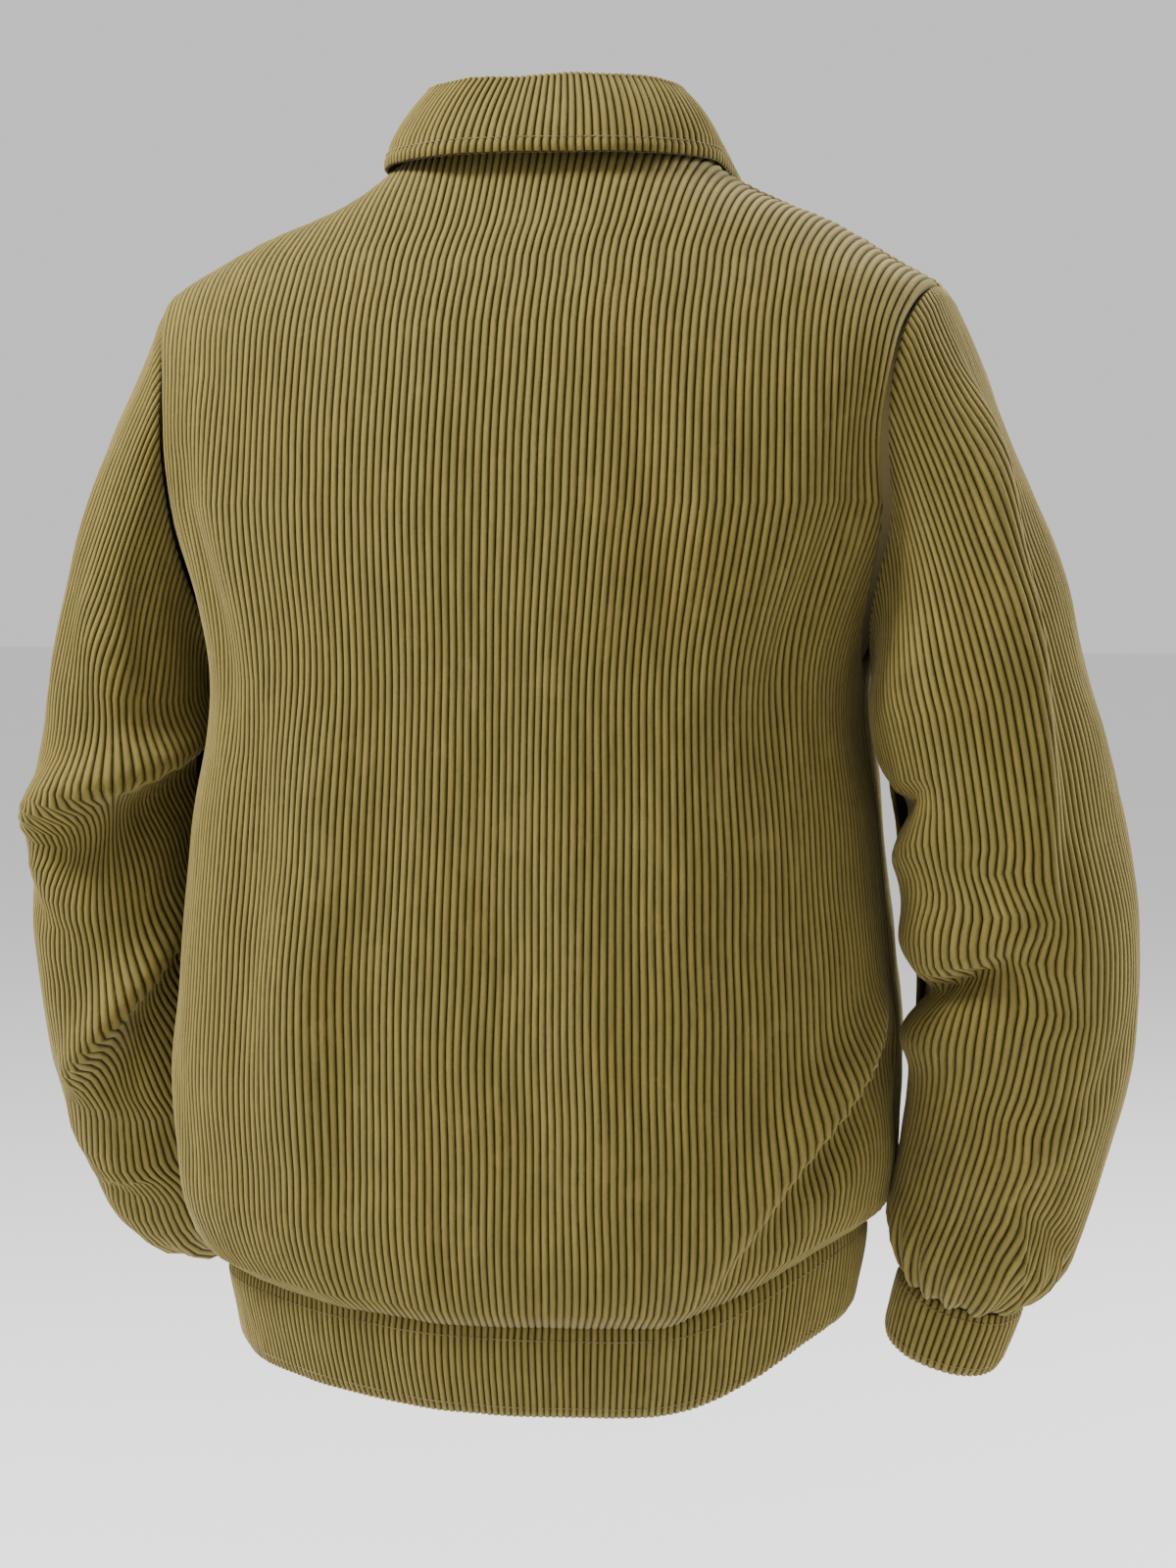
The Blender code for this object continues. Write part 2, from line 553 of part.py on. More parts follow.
def make_buttons(home, material):
    """A row of buttons on the centre front, each flat against the upper front."""
    for i, height in enumerate(BUTTON_HEIGHTS):
        table = SECTIONS if height > BAND_TOP else BAND_SECTIONS
        middle, y = quarter_point(table, height, 1, False, 0.0)
        above = quarter_point(table, height + BUTTON_SLOPE_STEP, 1, False, 0.0)[1]
        below = quarter_point(table, height - BUTTON_SLOPE_STEP, 1, False, 0.0)[1]
        tilt = np.arctan2(above - below, 2.0 * BUTTON_SLOPE_STEP)
        stand_off = WALL + 3.0 * EASE + BUTTON_THICKNESS / 2
        bpy.ops.mesh.primitive_cylinder_add(vertices=16, radius=BUTTON_RADIUS, depth=BUTTON_THICKNESS)
        button = bpy.context.object
        button.name = "button_%d" % (i + 1)
        button.data.name = button.name
        button.location = (middle, y - stand_off * np.cos(tilt), height + stand_off * np.sin(tilt))
        button.rotation_euler = (np.pi / 2 - tilt, 0.0, 0.0)
        button.data.materials.append(material)
        button.data.shade_smooth()
        rounded = button.modifiers.new("rounded", "BEVEL")
        rounded.width = BUTTON_ROUNDING
        rounded.segments = 1
        for owner in list(button.users_collection):
            owner.objects.unlink(button)
        home.objects.link(button)


main()
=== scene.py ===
"""The looks of the corduroy jacket: fine cloth shells with every wale as a ridge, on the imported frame."""

import math

import bmesh
import bpy
import numpy as np
from mathutils import Matrix, Vector
from mathutils.kdtree import KDTree


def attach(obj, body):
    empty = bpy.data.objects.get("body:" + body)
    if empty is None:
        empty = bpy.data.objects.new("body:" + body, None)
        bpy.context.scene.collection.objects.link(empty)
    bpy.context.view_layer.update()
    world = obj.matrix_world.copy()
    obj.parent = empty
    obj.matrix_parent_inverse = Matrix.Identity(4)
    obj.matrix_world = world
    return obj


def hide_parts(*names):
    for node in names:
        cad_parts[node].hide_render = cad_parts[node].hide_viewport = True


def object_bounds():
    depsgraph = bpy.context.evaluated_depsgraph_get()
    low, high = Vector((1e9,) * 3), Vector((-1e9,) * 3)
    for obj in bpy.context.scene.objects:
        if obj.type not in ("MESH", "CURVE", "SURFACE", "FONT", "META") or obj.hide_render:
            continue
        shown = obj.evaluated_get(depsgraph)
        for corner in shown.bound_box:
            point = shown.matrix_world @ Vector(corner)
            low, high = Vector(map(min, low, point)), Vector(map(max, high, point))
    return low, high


# ---------------------------------------------------------------- sizes, in metres, as in the solids
SEAM = 0.0004                 # half of the gap between two pieces that are sewn together
EASE = 0.0006
WALL = 0.002
ARMHOLE_GAP = 0.002
NECK_HALF = 0.083
SHOULDER_HALF = 0.218
CHEST_QUARTER = 0.286
SHOULDER_POINT = -0.081
ARMHOLE_TURN = -0.200
UNDERARM = -0.285
NECK_FRONT = -0.072
BACK_NECK_CURVE = 2.0
FRONT_NECK_CURVE = 2.6
BAND_TOP = -0.638
BAND_HEIGHT = 0.050
OVERLAP = 0.018
OVERLAP_RAMP = 0.020
HEM_LIFT_RIGHT = 0.042
HEM_LIFT_LEFT = 0.010
HEM_LIFT_FROM = -0.400
HEM_LIFT_START = 0.055
HEM_LIFT_REACH = 0.200
HEM_LIFT_TURN = 0.35
CUFF_LENGTH = 0.042
CUFF_TAPERS = (1.0, 0.985, 0.95)
CUFF_HALF_GIRTH = 0.118
NECK_CENTRE = (-0.006, -0.030)
FALL_BULGE = 1.03
FALL_RISE = 0.002
STAND_INSET = 0.95
STAND_DROP = 0.003
STAND_FOOT = 0.97
STAND_CLEAR = 0.002
ARM_STEP = 0.004
CAP_LEAVE_TOP = (0.40, -0.917)
CAP_LEAVE_UNDERARM = (0.40, -0.917)
COLLAR_END = 178.0
BUTTON_COUNT = 6
BUTTON_RADIUS = 0.0085
BUTTON_THICKNESS = 0.0032
SLEEVE_SQUARENESS = 2.2
SLEEVE_GIRTH = 0.430
RING_POINTS = 241             # points from which sections, rings and curves are read
BODY_LEVELS = 120
SLEEVE_LEVELS = 90
SLEEVE_TURNS = 361
CUFF_TURNS = 181
CURVE_POINTS = 400
HEAD_POINTS = 801

SECTIONS = np.array([
    # height, right half, left half, back depth, front depth, centre x, centre y, squareness
    (-0.638, 0.183, 0.188, 0.136, 0.118, 0.000, -0.021, 2.1),
    (-0.630, 0.192, 0.198, 0.140, 0.126, 0.000, -0.019, 2.2),
    (-0.610, 0.198, 0.204, 0.143, 0.131, 0.000, -0.015, 2.4),
    (-0.560, 0.201, 0.206, 0.141, 0.132, 0.000, -0.009, 2.6),
    (-0.480, 0.200, 0.203, 0.139, 0.132, 0.000, -0.004, 2.7),
    (-0.380, 0.188, 0.196, 0.138, 0.133, -0.004, 0.000, 2.7),
    (-0.285, 0.178, 0.189, 0.138, 0.134, -0.007, 0.000, 2.7),
    (-0.200, 0.214, 0.214, 0.135, 0.130, -0.007, 0.000, 2.6),
    (-0.135, 0.232, 0.232, 0.125, 0.122, -0.007, -0.002, 2.5),
    (-0.100, 0.229, 0.229, 0.115, 0.114, -0.006, -0.005, 2.4),
    (-0.081, 0.218, 0.218, 0.108, 0.107, -0.006, -0.008, 2.3),
    (-0.067, 0.194, 0.195, 0.101, 0.100, -0.005, -0.010, 2.3),
    (-0.050, 0.166, 0.166, 0.092, 0.088, -0.006, -0.014, 2.25),
    (-0.026, 0.113, 0.111, 0.078, 0.070, -0.006, -0.018, 2.2),
    (-0.006, 0.083, 0.083, 0.067, 0.055, -0.006, -0.020, 2.2),
    (0.004, 0.072, 0.072, 0.062, 0.050, -0.006, -0.020, 2.2),
])

BAND_SECTIONS = np.array([
    (-0.688, 0.174, 0.180, 0.130, 0.114, 0.000, -0.024, 2.05),
    (-0.663, 0.180, 0.185, 0.134, 0.117, 0.000, -0.022, 2.05),
    (-0.638, 0.183, 0.188, 0.136, 0.118, 0.000, -0.021, 2.1),
])

SLEEVES = {
    "right": np.array([
        # x, y, z, outward, inward, fore and aft
        (-0.248, 0.018, -0.300, 0.059, 0.056, 0.078),
        (-0.264, 0.012, -0.370, 0.060, 0.060, 0.072),
        (-0.273, 0.000, -0.445, 0.062, 0.061, 0.068),
        (-0.268, -0.014, -0.508, 0.059, 0.058, 0.064),
        (-0.254, -0.028, -0.570, 0.054, 0.053, 0.059),
        (-0.241, -0.037, -0.612, 0.047, 0.046, 0.053),
        (-0.235, -0.041, -0.630, 0.037, 0.035, 0.040),
    ]),
    "left": np.array([
        (0.235, 0.002, -0.300, 0.045, 0.044, 0.076),
        (0.247, -0.002, -0.370, 0.050, 0.047, 0.070),
        (0.254, -0.014, -0.440, 0.050, 0.047, 0.067),
        (0.255, -0.038, -0.505, 0.053, 0.048, 0.063),
        (0.250, -0.073, -0.562, 0.057, 0.050, 0.060),
        (0.239, -0.105, -0.601, 0.055, 0.047, 0.057),
        (0.227, -0.126, -0.607, 0.037, 0.035, 0.040),
    ]),
}

COLLAR = np.array([
    # turn in degrees, top x, y, z, edge x, y, z
    (0, 0.000, 0.036, 0.032, 0.000, 0.066, -0.011),
    (35, 0.040, 0.030, 0.032, 0.053, 0.057, -0.011),
    (70, 0.069, 0.004, 0.031, 0.090, 0.020, -0.011),
    (95, 0.073, -0.022, 0.027, 0.099, -0.018, -0.013),
    (120, 0.067, -0.054, 0.015, 0.099, -0.070, -0.028),
    (150, 0.041, -0.092, -0.009, 0.084, -0.118, -0.080),
    (168, 0.018, -0.108, -0.033, 0.066, -0.129, -0.118),
    (178, 0.004, -0.114, -0.048, 0.048, -0.134, -0.142),
])

# Large folds of the solids. On the body, around is the distance from the centre back, positive
# towards the wearer's left, and along is the height. On a sleeve, around is the share of its girth
# from the outer side towards the back, times the girth, and along is the distance below the shoulder.
BODY_FOLDS = np.array([
    # around, along, around, along, half width, height
    (-0.262, -0.520, -0.135, -0.630, 0.018, -0.010),
    (-0.250, -0.490, -0.170, -0.580, 0.020, 0.005),
    (0.110, -0.420, 0.125, -0.600, 0.022, 0.004),
    (0.070, -0.430, 0.075, -0.610, 0.018, -0.004),
])

SLEEVE_FOLDS = {
    "right": np.array([
        (0.110, 0.353, 0.160, 0.376, 0.010, -0.011),
        (0.165, 0.378, 0.235, 0.394, 0.015, -0.013),
        (0.110, 0.328, 0.195, 0.352, 0.015, 0.008),
        (0.120, 0.392, 0.215, 0.424, 0.015, 0.007),
        (0.150, 0.262, 0.235, 0.280, 0.015, -0.012),
    ]),
    "left": np.array([
        (0.055, 0.300, 0.190, 0.237, 0.013, 0.010),
        (0.090, 0.316, 0.215, 0.262, 0.017, -0.016),
        (0.085, 0.430, 0.185, 0.335, 0.011, 0.009),
        (0.110, 0.440, 0.200, 0.366, 0.014, -0.012),
    ]),
}

# ---------------------------------------------------------------- the cloth
PITCH = SHOULDER_HALF / 52   # width of one wale
WALE_HEIGHT = 0.0017         # from the bottom of a groove to the top of the pile
WALE_STEPS = (0.0, 0.08, 0.22, 0.40, 0.60, 0.78, 0.92)   # places across one wale where it is modelled
BACKING = 0.0020             # from the middle of the pile to the wrong side
SEAM_DIP = 0.0016            # how far the cloth turns in at a sewn edge, and over what width
SEAM_WIDTH = 0.0030
INNER_DIP = 0.5              # share of that by which the wrong side turns in too
STITCH_DIP = 0.0011          # how far a row of topstitching presses the pile down, and its half width
STITCH_WIDTH = 0.0014
LOWER_ROWS = 46
UPPER_ROWS = 22
CAP_ROWS = 26
TUBE_ROWS = 52
BAND_ROWS = 12
CUFF_ROWS = 10
CAP_HEIGHT = 0.140           # height of the sleeve's head above its underarm, in the flat cut
SLEEVE_END = 0.320           # width of the sleeve's cut where it is gathered into the cuff

# Creases, softer and finer than the folds above, with the same columns.
BACK_CREASES = np.array([
    # around, along, around, along, half width, height
    (0.098, -0.330, 0.090, -0.620, 0.021, 0.0056),
    (0.140, -0.300, 0.128, -0.590, 0.017, -0.0036),
    (0.052, -0.300, 0.056, -0.560, 0.015, -0.0024),
    (-0.004, -0.340, -0.040, -0.610, 0.019, -0.0050),
    (-0.046, -0.330, -0.080, -0.560, 0.016, 0.0036),
    (-0.072, -0.120, -0.110, -0.280, 0.016, -0.0046),
    (-0.110, -0.300, -0.116, -0.520, 0.020, 0.0026),
    (0.030, -0.080, 0.024, -0.260, 0.022, 0.0024),
    (0.190, -0.180, 0.160, -0.330, 0.012, -0.0036),
    (0.170, -0.150, 0.136, -0.300, 0.013, 0.0030),
    (-0.204, -0.160, -0.165, -0.330, 0.012, -0.0048),
    (-0.180, -0.140, -0.140, -0.290, 0.013, 0.0030),
    (0.250, -0.470, 0.190, -0.600, 0.016, 0.0030),
    (-0.100, -0.560, -0.104, -0.628, 0.009, -0.0018),
    (0.030, -0.570, 0.028, -0.630, 0.009, 0.0018),
])
FRONT_CREASES = np.array([
    (-0.460, -0.200, -0.440, -0.420, 0.018, 0.0028),
    (-0.380, -0.190, -0.350, -0.330, 0.012, -0.0034),
    (-0.400, -0.430, -0.470, -0.600, 0.017, -0.0030),
    (-0.330, -0.480, -0.400, -0.610, 0.015, 0.0034),
    (0.450, -0.230, 0.440, -0.470, 0.017, 0.0026),
    (0.380, -0.190, 0.352, -0.320, 0.012, -0.0036),
    (0.410, -0.440, 0.480, -0.590, 0.018, -0.0032),
    (0.340, -0.500, 0.390, -0.610, 0.013, 0.0030),
])
SLEEVE_CREASES = {
    "right": np.array([
        (0.030, 0.070, 0.062, 0.170, 0.013, 0.0040),
        (0.112, 0.368, 0.170, 0.398, 0.008, 0.0034),
        (0.130, 0.285, 0.190, 0.302, 0.009, 0.0040),
        (0.120, 0.302, 0.092, 0.318, 0.006, -0.0026),
        (0.112, 0.320, 0.084, 0.334, 0.006, 0.0026),
        (0.096, 0.372, 0.066, 0.384, 0.007, -0.0028),
        (0.020, 0.400, 0.070, 0.440, 0.012, -0.0030),
        (0.060, 0.440, 0.110, 0.480, 0.011, 0.0030),
        (0.070, 0.500, 0.020, 0.530, 0.009, -0.0044),
        (0.086, 0.512, 0.040, 0.545, 0.008, 0.0040),
        (0.120, 0.490, 0.100, 0.540, 0.009, -0.0036),
        (-0.160, 0.320, -0.080, 0.335, 0.010, -0.0048),
        (-0.180, 0.345, -0.070, 0.352, 0.011, 0.0040),
        (-0.170, 0.378, -0.070, 0.384, 0.010, -0.0046),
        (-0.180, 0.410, -0.090, 0.404, 0.010, 0.0034),
        (-0.120, 0.110, -0.090, 0.240, 0.016, -0.0032),
        (-0.060, 0.090, -0.045, 0.230, 0.014, 0.0028),
        (-0.100, 0.480, -0.040, 0.510, 0.009, -0.0034),
    ]),
    "left": np.array([
        (0.045, 0.110, 0.062, 0.230, 0.014, 0.0034),
        (0.120, 0.150, 0.150, 0.230, 0.011, -0.0036),
        (0.020, 0.316, 0.096, 0.330, 0.009, 0.0034),
        (0.040, 0.338, 0.104, 0.356, 0.008, -0.0030),
        (0.050, 0.452, 0.140, 0.470, 0.010, -0.0034),
        (0.050, 0.476, 0.130, 0.500, 0.009, 0.0034),
        (0.060, 0.508, 0.120, 0.530, 0.008, -0.0032),
        (-0.170, 0.306, -0.070, 0.325, 0.010, -0.0050),
        (-0.180, 0.336, -0.080, 0.350, 0.011, 0.0042),
        (-0.160, 0.374, -0.070, 0.386, 0.010, -0.0046),
        (-0.170, 0.404, -0.090, 0.414, 0.010, 0.0034),
        (-0.120, 0.110, -0.095, 0.230, 0.016, -0.0032),
        (-0.080, 0.460, -0.030, 0.490, 0.009, -0.0032),
    ]),
}

# Folds that lean over and drop into a hollow, with the same columns.
BACK_BREAKS = np.array([
    (-0.140, -0.604, -0.240, -0.494, 0.022, 0.0120),
])
SLEEVE_BREAKS = {
    "right": np.array([
        (0.031, 0.068, 0.076, 0.310, 0.022, 0.0060),
        (0.100, 0.346, 0.176, 0.373, 0.014, 0.0108),
        (0.142, 0.258, 0.196, 0.266, 0.012, 0.0060),
        (0.090, 0.490, 0.060, 0.550, 0.012, 0.0036),
    ]),
    "left": np.array([
        (0.056, 0.302, 0.194, 0.239, 0.020, 0.0115),
        (0.086, 0.428, 0.186, 0.336, 0.017, 0.0104),
        (0.050, 0.508, 0.120, 0.492, 0.011, 0.0036),
    ]),
}
FOLD_FADE = (0.15, 0.70)     # a fold's height runs along it as a sine: where that starts, and its span
BREAK_FADE = (0.12, 0.76)
BREAK_STEEPNESS = 0.32       # how much narrower than its rise a leaning fold's drop is
BREAK_HOLLOW = 0.75          # how deep its hollow is against its height
BREAK_RECOVERY = 1.9         # how much wider than its rise the hollow's far side is

# Where creases push the wales aside along the cloth, with the same columns. The last is how far.
SLEEVE_KINKS = {
    "right": np.array([
        (0.126, 0.302, 0.084, 0.314, 0.008, 0.0034),
        (0.120, 0.326, 0.078, 0.338, 0.008, -0.0036),
        (0.106, 0.350, 0.070, 0.362, 0.008, 0.0034),
        (0.100, 0.378, 0.060, 0.388, 0.009, -0.0030),
        (0.176, 0.300, 0.120, 0.330, 0.012, -0.0034),
        (0.110, 0.440, 0.060, 0.452, 0.012, 0.0026),
        (0.090, 0.500, 0.040, 0.520, 0.010, -0.0034),
        (-0.150, 0.330, -0.060, 0.340, 0.010, 0.0034),
        (-0.150, 0.370, -0.060, 0.378, 0.010, -0.0034),
    ]),
    "left": np.array([
        (0.020, 0.300, 0.086, 0.314, 0.009, 0.0040),
        (0.034, 0.332, 0.110, 0.344, 0.010, -0.0036),
        (0.050, 0.372, 0.100, 0.384, 0.011, 0.0026),
        (0.060, 0.448, 0.150, 0.462, 0.010, 0.0036),
        (0.060, 0.480, 0.150, 0.494, 0.010, -0.0036),
        (0.070, 0.512, 0.140, 0.524, 0.009, 0.0030),
        (0.070, 0.160, 0.130, 0.230, 0.014, -0.0040),
        (-0.150, 0.320, -0.060, 0.330, 0.010, 0.0034),
        (-0.150, 0.362, -0.060, 0.372, 0.010, -0.0034),
    ]),
}
WALE_SWAY = 0.0005           # how far the wales wander sideways, and over what length
SWAY_LENGTH = 0.050
SWAY_SEED = 17
WALE_UNEVEN = 0.13           # share by which the height of the pile varies, in lumps drawn out along it
WALE_DRAWN_OUT = 3.0
WALE_LUMP = 0.020
WALE_SEED = 11
WALE_SQUARENESS = 2.4        # powers that give a wale its round top and steep sides
WALE_FULLNESS = 0.6
NOISE_WAVES = 20             # how many waves make up the unevenness, and how far their lengths spread
NOISE_SPREAD = (0.6, 1.5)
UNEVENNESS = {
    # part: height, seed, size of the lumps
    "body": (0.0012, 5, 0.055),
    "band": (0.0007, 8, 0.030),
    "collar": (0.0008, 3, 0.035),
    "sleeve_right": (0.0014, 21, 0.050),
    "sleeve_left": (0.0014, 34, 0.050),
}
KINK_FADE = 0.020            # width beside the underarm seam over which the kinks die away
KINK_ROWS = 8                # rows of the sleeve over which they die away at its ends
UNDERARM_TRIM = 0.0030       # cloth left off the widest point of the sleeve, which has no length
FALL_ROWS = 12
ROLL_ROWS = 6
STAND_ROWS = 4
STAND_HEIGHT = 0.030
ROLL_FULLNESS = 0.9          # height of the collar's roll as a share of half its width
FRONT_STITCHES = 0.0070      # distances of the topstitching from the edges
BAND_STITCHES = 0.0060
CUFF_STITCHES = 0.0060
COLLAR_STITCHES = 0.0080
ALLOWANCE = 0.0060           # how far the band's seam allowance runs up inside the body
ALLOWANCE_INSET = 0.0040     # and how far inside the body's surface it lies
STITCH_STEP = 0.0040
STITCH_FILL = 0.78
STITCH_LIFT = 0.0002
STITCH_BOW = 0.0003
THREAD_RADIUS = 0.00034
THREAD_SIDES = 6
THREAD_STATIONS = ((0.0, 0.35), (0.12, 0.85), (0.35, 1.0), (0.65, 1.0), (0.88, 0.85), (1.0, 0.35))
BUTTON_SIDES = 48
BUTTON_PROFILE = (
    # shares of the radius and of half the thickness
    (0.0, -1.0), (0.86, -1.0), (0.97, -0.55), (1.0, 0.0), (0.98, 0.55), (0.92, 0.92), (0.84, 1.0),
    (0.76, 0.88), (0.68, 0.50), (0.58, 0.30), (0.0, 0.24),
)
HOLE_RADIUS = 0.0009
HOLE_SPACING = 0.0018
HOLE_LENGTH = 0.0240
HOLE_BAND = 0.0014
HOLE_SHIFT = 0.0030          # how far the buttonhole's middle is from the button's
HOLE_SLIT = 0.0003
HOLE_STEP = 2.2              # spacing of the buttonhole's stitches, in radii of the thread
HOLE_LEVEL = 0.6             # how far down the shank the buttonhole lies
SHANK = 0.0012
SHANK_SPREAD = 0.5           # how far apart the threads are at the cloth, against the button's holes
SHANK_TOP = 0.15             # where they end in the button, and where they cross its face
THREAD_TOP = 0.24
THREAD_PLACES = (-0.4, 0.0, 0.4)
BUTTON_THREAD = 0.8          # how thick the button's thread is against the topstitching's
NOISES = {
    # what the coordinates are multiplied by along each axis, and the noise's detail
    "streaks": ((900.0, 110.0, 1.0), 3.0),
    "tufts": ((1500.0, 620.0, 1.0), 2.0),
    "lots": ((1.0 / PITCH, 26.0, 1.0), 1.0),
    "patches": ((16.0, 16.0, 11.0), 3.0),
    "rubbed": ((48.0, 48.0, 30.0), 4.0),
    "fibres": ((2600.0, 1500.0, 1.0), 2.0),
    "twist": ((2600.0, 2600.0, 2600.0), 1.0),
    "cloud": ((260.0, 140.0, 200.0), 4.0),
    "rub": ((1200.0, 1200.0, 1200.0), 3.0),
}
NOISE_ROUGHNESS = 0.6
STREAK_SHARE = 0.34          # how much streaks and tufts add to a wale's brightness, and what is taken off
TUFT_SHARE = 0.26
PILE_SINK = -0.30
PATCH_SHARE = 0.55
RUBBED_FROM = 0.60           # where the rubbed spots begin in their noise, and how much they show
RUBBED_SHARE = 0.10
LOTS_SPAN = {"From Min": 0.3, "From Max": 0.7}
LOTS_TONE = (0.86, 1.12)     # how dark and bright whole wales get
TUFT_BUMP = 1.6              # how much more the tufts add to the bump than the fibres do
PILE_BUMP = (0.55, 0.0004)   # strength and depth
THREAD_BUMP = (0.4, 0.0001)
PLASTIC_BUMP = (0.08, 0.0001)
PILE_ROUGHNESS = (0.78, 0.98)
PLASTIC_ROUGHNESS = (0.26, 0.46)
WEAVE_SCALE = 1400.0
# colours from the bottom of a groove (0) to the top of a wale (1): the darkness of the grooves is painted
# shade, on top of the backing's own darker colour there
PILE_AND_GROOVE_SHADE_STOPS = (
    (0.00, (0.006, 0.004, 0.0002)),
    (0.34, (0.026, 0.018, 0.001)),
    (0.68, (0.082, 0.062, 0.008)),
    (1.00, (0.172, 0.139, 0.038)),
)
THREAD_STOPS = ((0.3, (0.075, 0.053, 0.016)), (0.7, (0.190, 0.142, 0.050)))
PLASTIC_STOPS = ((0.25, (0.016, 0.009, 0.004)), (0.75, (0.072, 0.042, 0.019)))
WEAVE_DARK = (0.095, 0.070, 0.022, 1.0)    # the wrong side's plain weave
WEAVE_PALE = (0.140, 0.108, 0.040, 1.0)
WARM_TINT = (1.10, 0.93, 0.72, 1.0)
FADED = (0.27, 0.20, 0.06, 1.0)
PILE_SURFACE = {
    "Specular IOR Level": 0.16,
    "Sheen Weight": 0.22,
    "Sheen Roughness": 0.45,
    "Sheen Tint": (0.95, 0.84, 0.52, 1.0),
}
THREAD_SURFACE = {"Roughness": 0.72, "Sheen Weight": 0.15}
FLOOR_SURFACE = {"Base Color": (0.86, 0.86, 0.85, 1.0), "Roughness": 0.9}
CAMERA_AZIMUTH = 195.0
CAMERA_ELEVATION = 3.7
CAMERA_DISTANCE = 1.8
CAMERA_LENS = 73.55
AIM = (-0.0134, 0.0143, -0.0270)   # what the camera looks at, from the middle of the jacket
FLOOR_HALF = 30.0
FLOOR_DROP = 0.30
WORLD_STRENGTH = 0.80
LIGHTS = (
    # name, place from the jacket's middle, size, power
    ("key", (1.5, 0.9, 2.0), 0.8, 160.0),
    ("fill", (-2.2, 1.7, 0.6), 1.6, 5.0),
    ("front_key", (-2.1, -1.6, 1.2), 0.9, 120.0),
)
GATHERS = 17                 # small pleats where a sleeve is gathered into its cuff
GATHER_HEIGHT = 0.0030
GATHER_LENGTH = 0.045
GATHER_LEAN = 9.0            # how fast the pleats drift round the arm, in radians a metre
GATHER_BUNCHING = 1.3        # how unevenly they are spaced, in this many bunches round the arm
GATHER_BUNCHES = 3.0
GATHER_CLOSING = 0.7         # share of their height that they lose again at the seam itself
GATHER_GAIN = 2.2


def added(name, data):
    """A new object in the scene."""
    made = bpy.data.objects.new(name, data)
    bpy.context.scene.collection.objects.link(made)
    return made


def smooth_step(share):
    """Rises from 0 to 1 with no corner at either end."""
    share = np.clip(share, 0.0, 1.0)
    return share * share * (3.0 - 2.0 * share)


def through(places, values, at):
    """Reads a smooth line through a table's values. The places go up."""
    slopes = np.gradient(values, places, axis=0)
    at = np.clip(np.asarray(at, float), places[0], places[-1])
    low = np.clip(np.searchsorted(places, at) - 1, 0, len(places) - 2)
    step = places[low + 1] - places[low]
    share = (at - places[low]) / step
    if values.ndim > 1:
        share = share[..., None]
        step = step[..., None]
    rest = 1.0 - share
    return ((1.0 + 2.0 * share) * rest * rest * values[low] + share * rest * rest * step * slopes[low]
            + share * share * (3.0 - 2.0 * share) * values[low + 1]
            - share * share * rest * step * slopes[low + 1])


def fold_height(around, along, folds):
    """How far the folds lift the cloth at each place. A negative height is a valley."""
    total = np.zeros(np.broadcast(around, along).shape)
    start, reach = FOLD_FADE
    for a0, t0, a1, t1, half_width, height in folds:
        run = np.array([a1 - a0, t1 - t0])
        length = np.hypot(*run)
        share = np.clip(((around - a0) * run[0] + (along - t0) * run[1]) / length ** 2, 0.0, 1.0)
        off = np.hypot(around - a0 - share * run[0], along - t0 - share * run[1])
        fade = np.sin(np.pi * (start + reach * share))
        total = total + height * np.exp(-(off / half_width) ** 2) * fade
    return total


def break_height(around, along, breaks):
    """How far leaning folds lift the cloth: a slow rise, a sharp drop, then a hollow that fades."""
    total = np.zeros(np.broadcast(around, along).shape)
    start, reach = BREAK_FADE
    for a0, t0, a1, t1, half_width, height in breaks:
        run = np.array([a1 - a0, t1 - t0])
        length = np.hypot(*run)
        way = ((around - a0) * run[0] + (along - t0) * run[1]) / length ** 2
        share = np.clip(way, 0.0, 1.0)
        past = (way - share) * length
        off = ((along - t0) * run[0] - (around - a0) * run[1]) / length
        rise = np.exp(-(off / half_width) ** 2)
        drop = (1.0 + BREAK_HOLLOW) * np.exp(-(off / (BREAK_STEEPNESS * half_width)) ** 2)
        drop = drop - BREAK_HOLLOW * np.exp(-(off / (BREAK_RECOVERY * half_width)) ** 2)
        fade = np.sin(np.pi * (start + reach * share)) * np.exp(-(past / half_width) ** 2)
        total = total + height * fade * np.where(off < 0.0, rise, drop)
    return total


def section(table, height):
    """The section at each height: one array for each column of the table after the first."""
    values = through(table[:, 0], table[:, 1:], height)
    return np.moveaxis(values, -1, 0)


def quarter_points(table, heights, side, back, arcs):
    """Level points a given way round from the centre line: a row for each height, a column for each arc."""
    found = np.empty((len(heights), len(arcs), 2))
    turn = np.linspace(0.0, np.pi / 2, RING_POINTS)
    for i, height in enumerate(heights):
        right, left, deep_back, deep_front, middle, centre, square = section(table, np.array(height))
        half = left if side > 0 else right
        depth = deep_back if back else -deep_front
        x = half * np.sin(turn) ** (2.0 / square)
        y = depth * np.cos(turn) ** (2.0 / square)
        way = summed(np.hypot(np.diff(x), np.diff(y)))
        wanted = np.abs(arcs) / CHEST_QUARTER * way[-1]
        found[i, :, 0] = middle + side * np.sign(arcs) * np.interp(wanted, way, x)
        found[i, :, 1] = centre + np.interp(wanted, way, y)
    return found


def armhole_height(arc):
    """Top of the panel outside the shoulder width: the armhole's curve under the arm."""
    share = np.clip((np.abs(arc) - SHOULDER_HALF) / (CHEST_QUARTER - SHOULDER_HALF), 0.0, 1.0)
    return ARMHOLE_TURN + (UNDERARM - ARMHOLE_TURN) * (1.0 - (1.0 - share) ** 2)


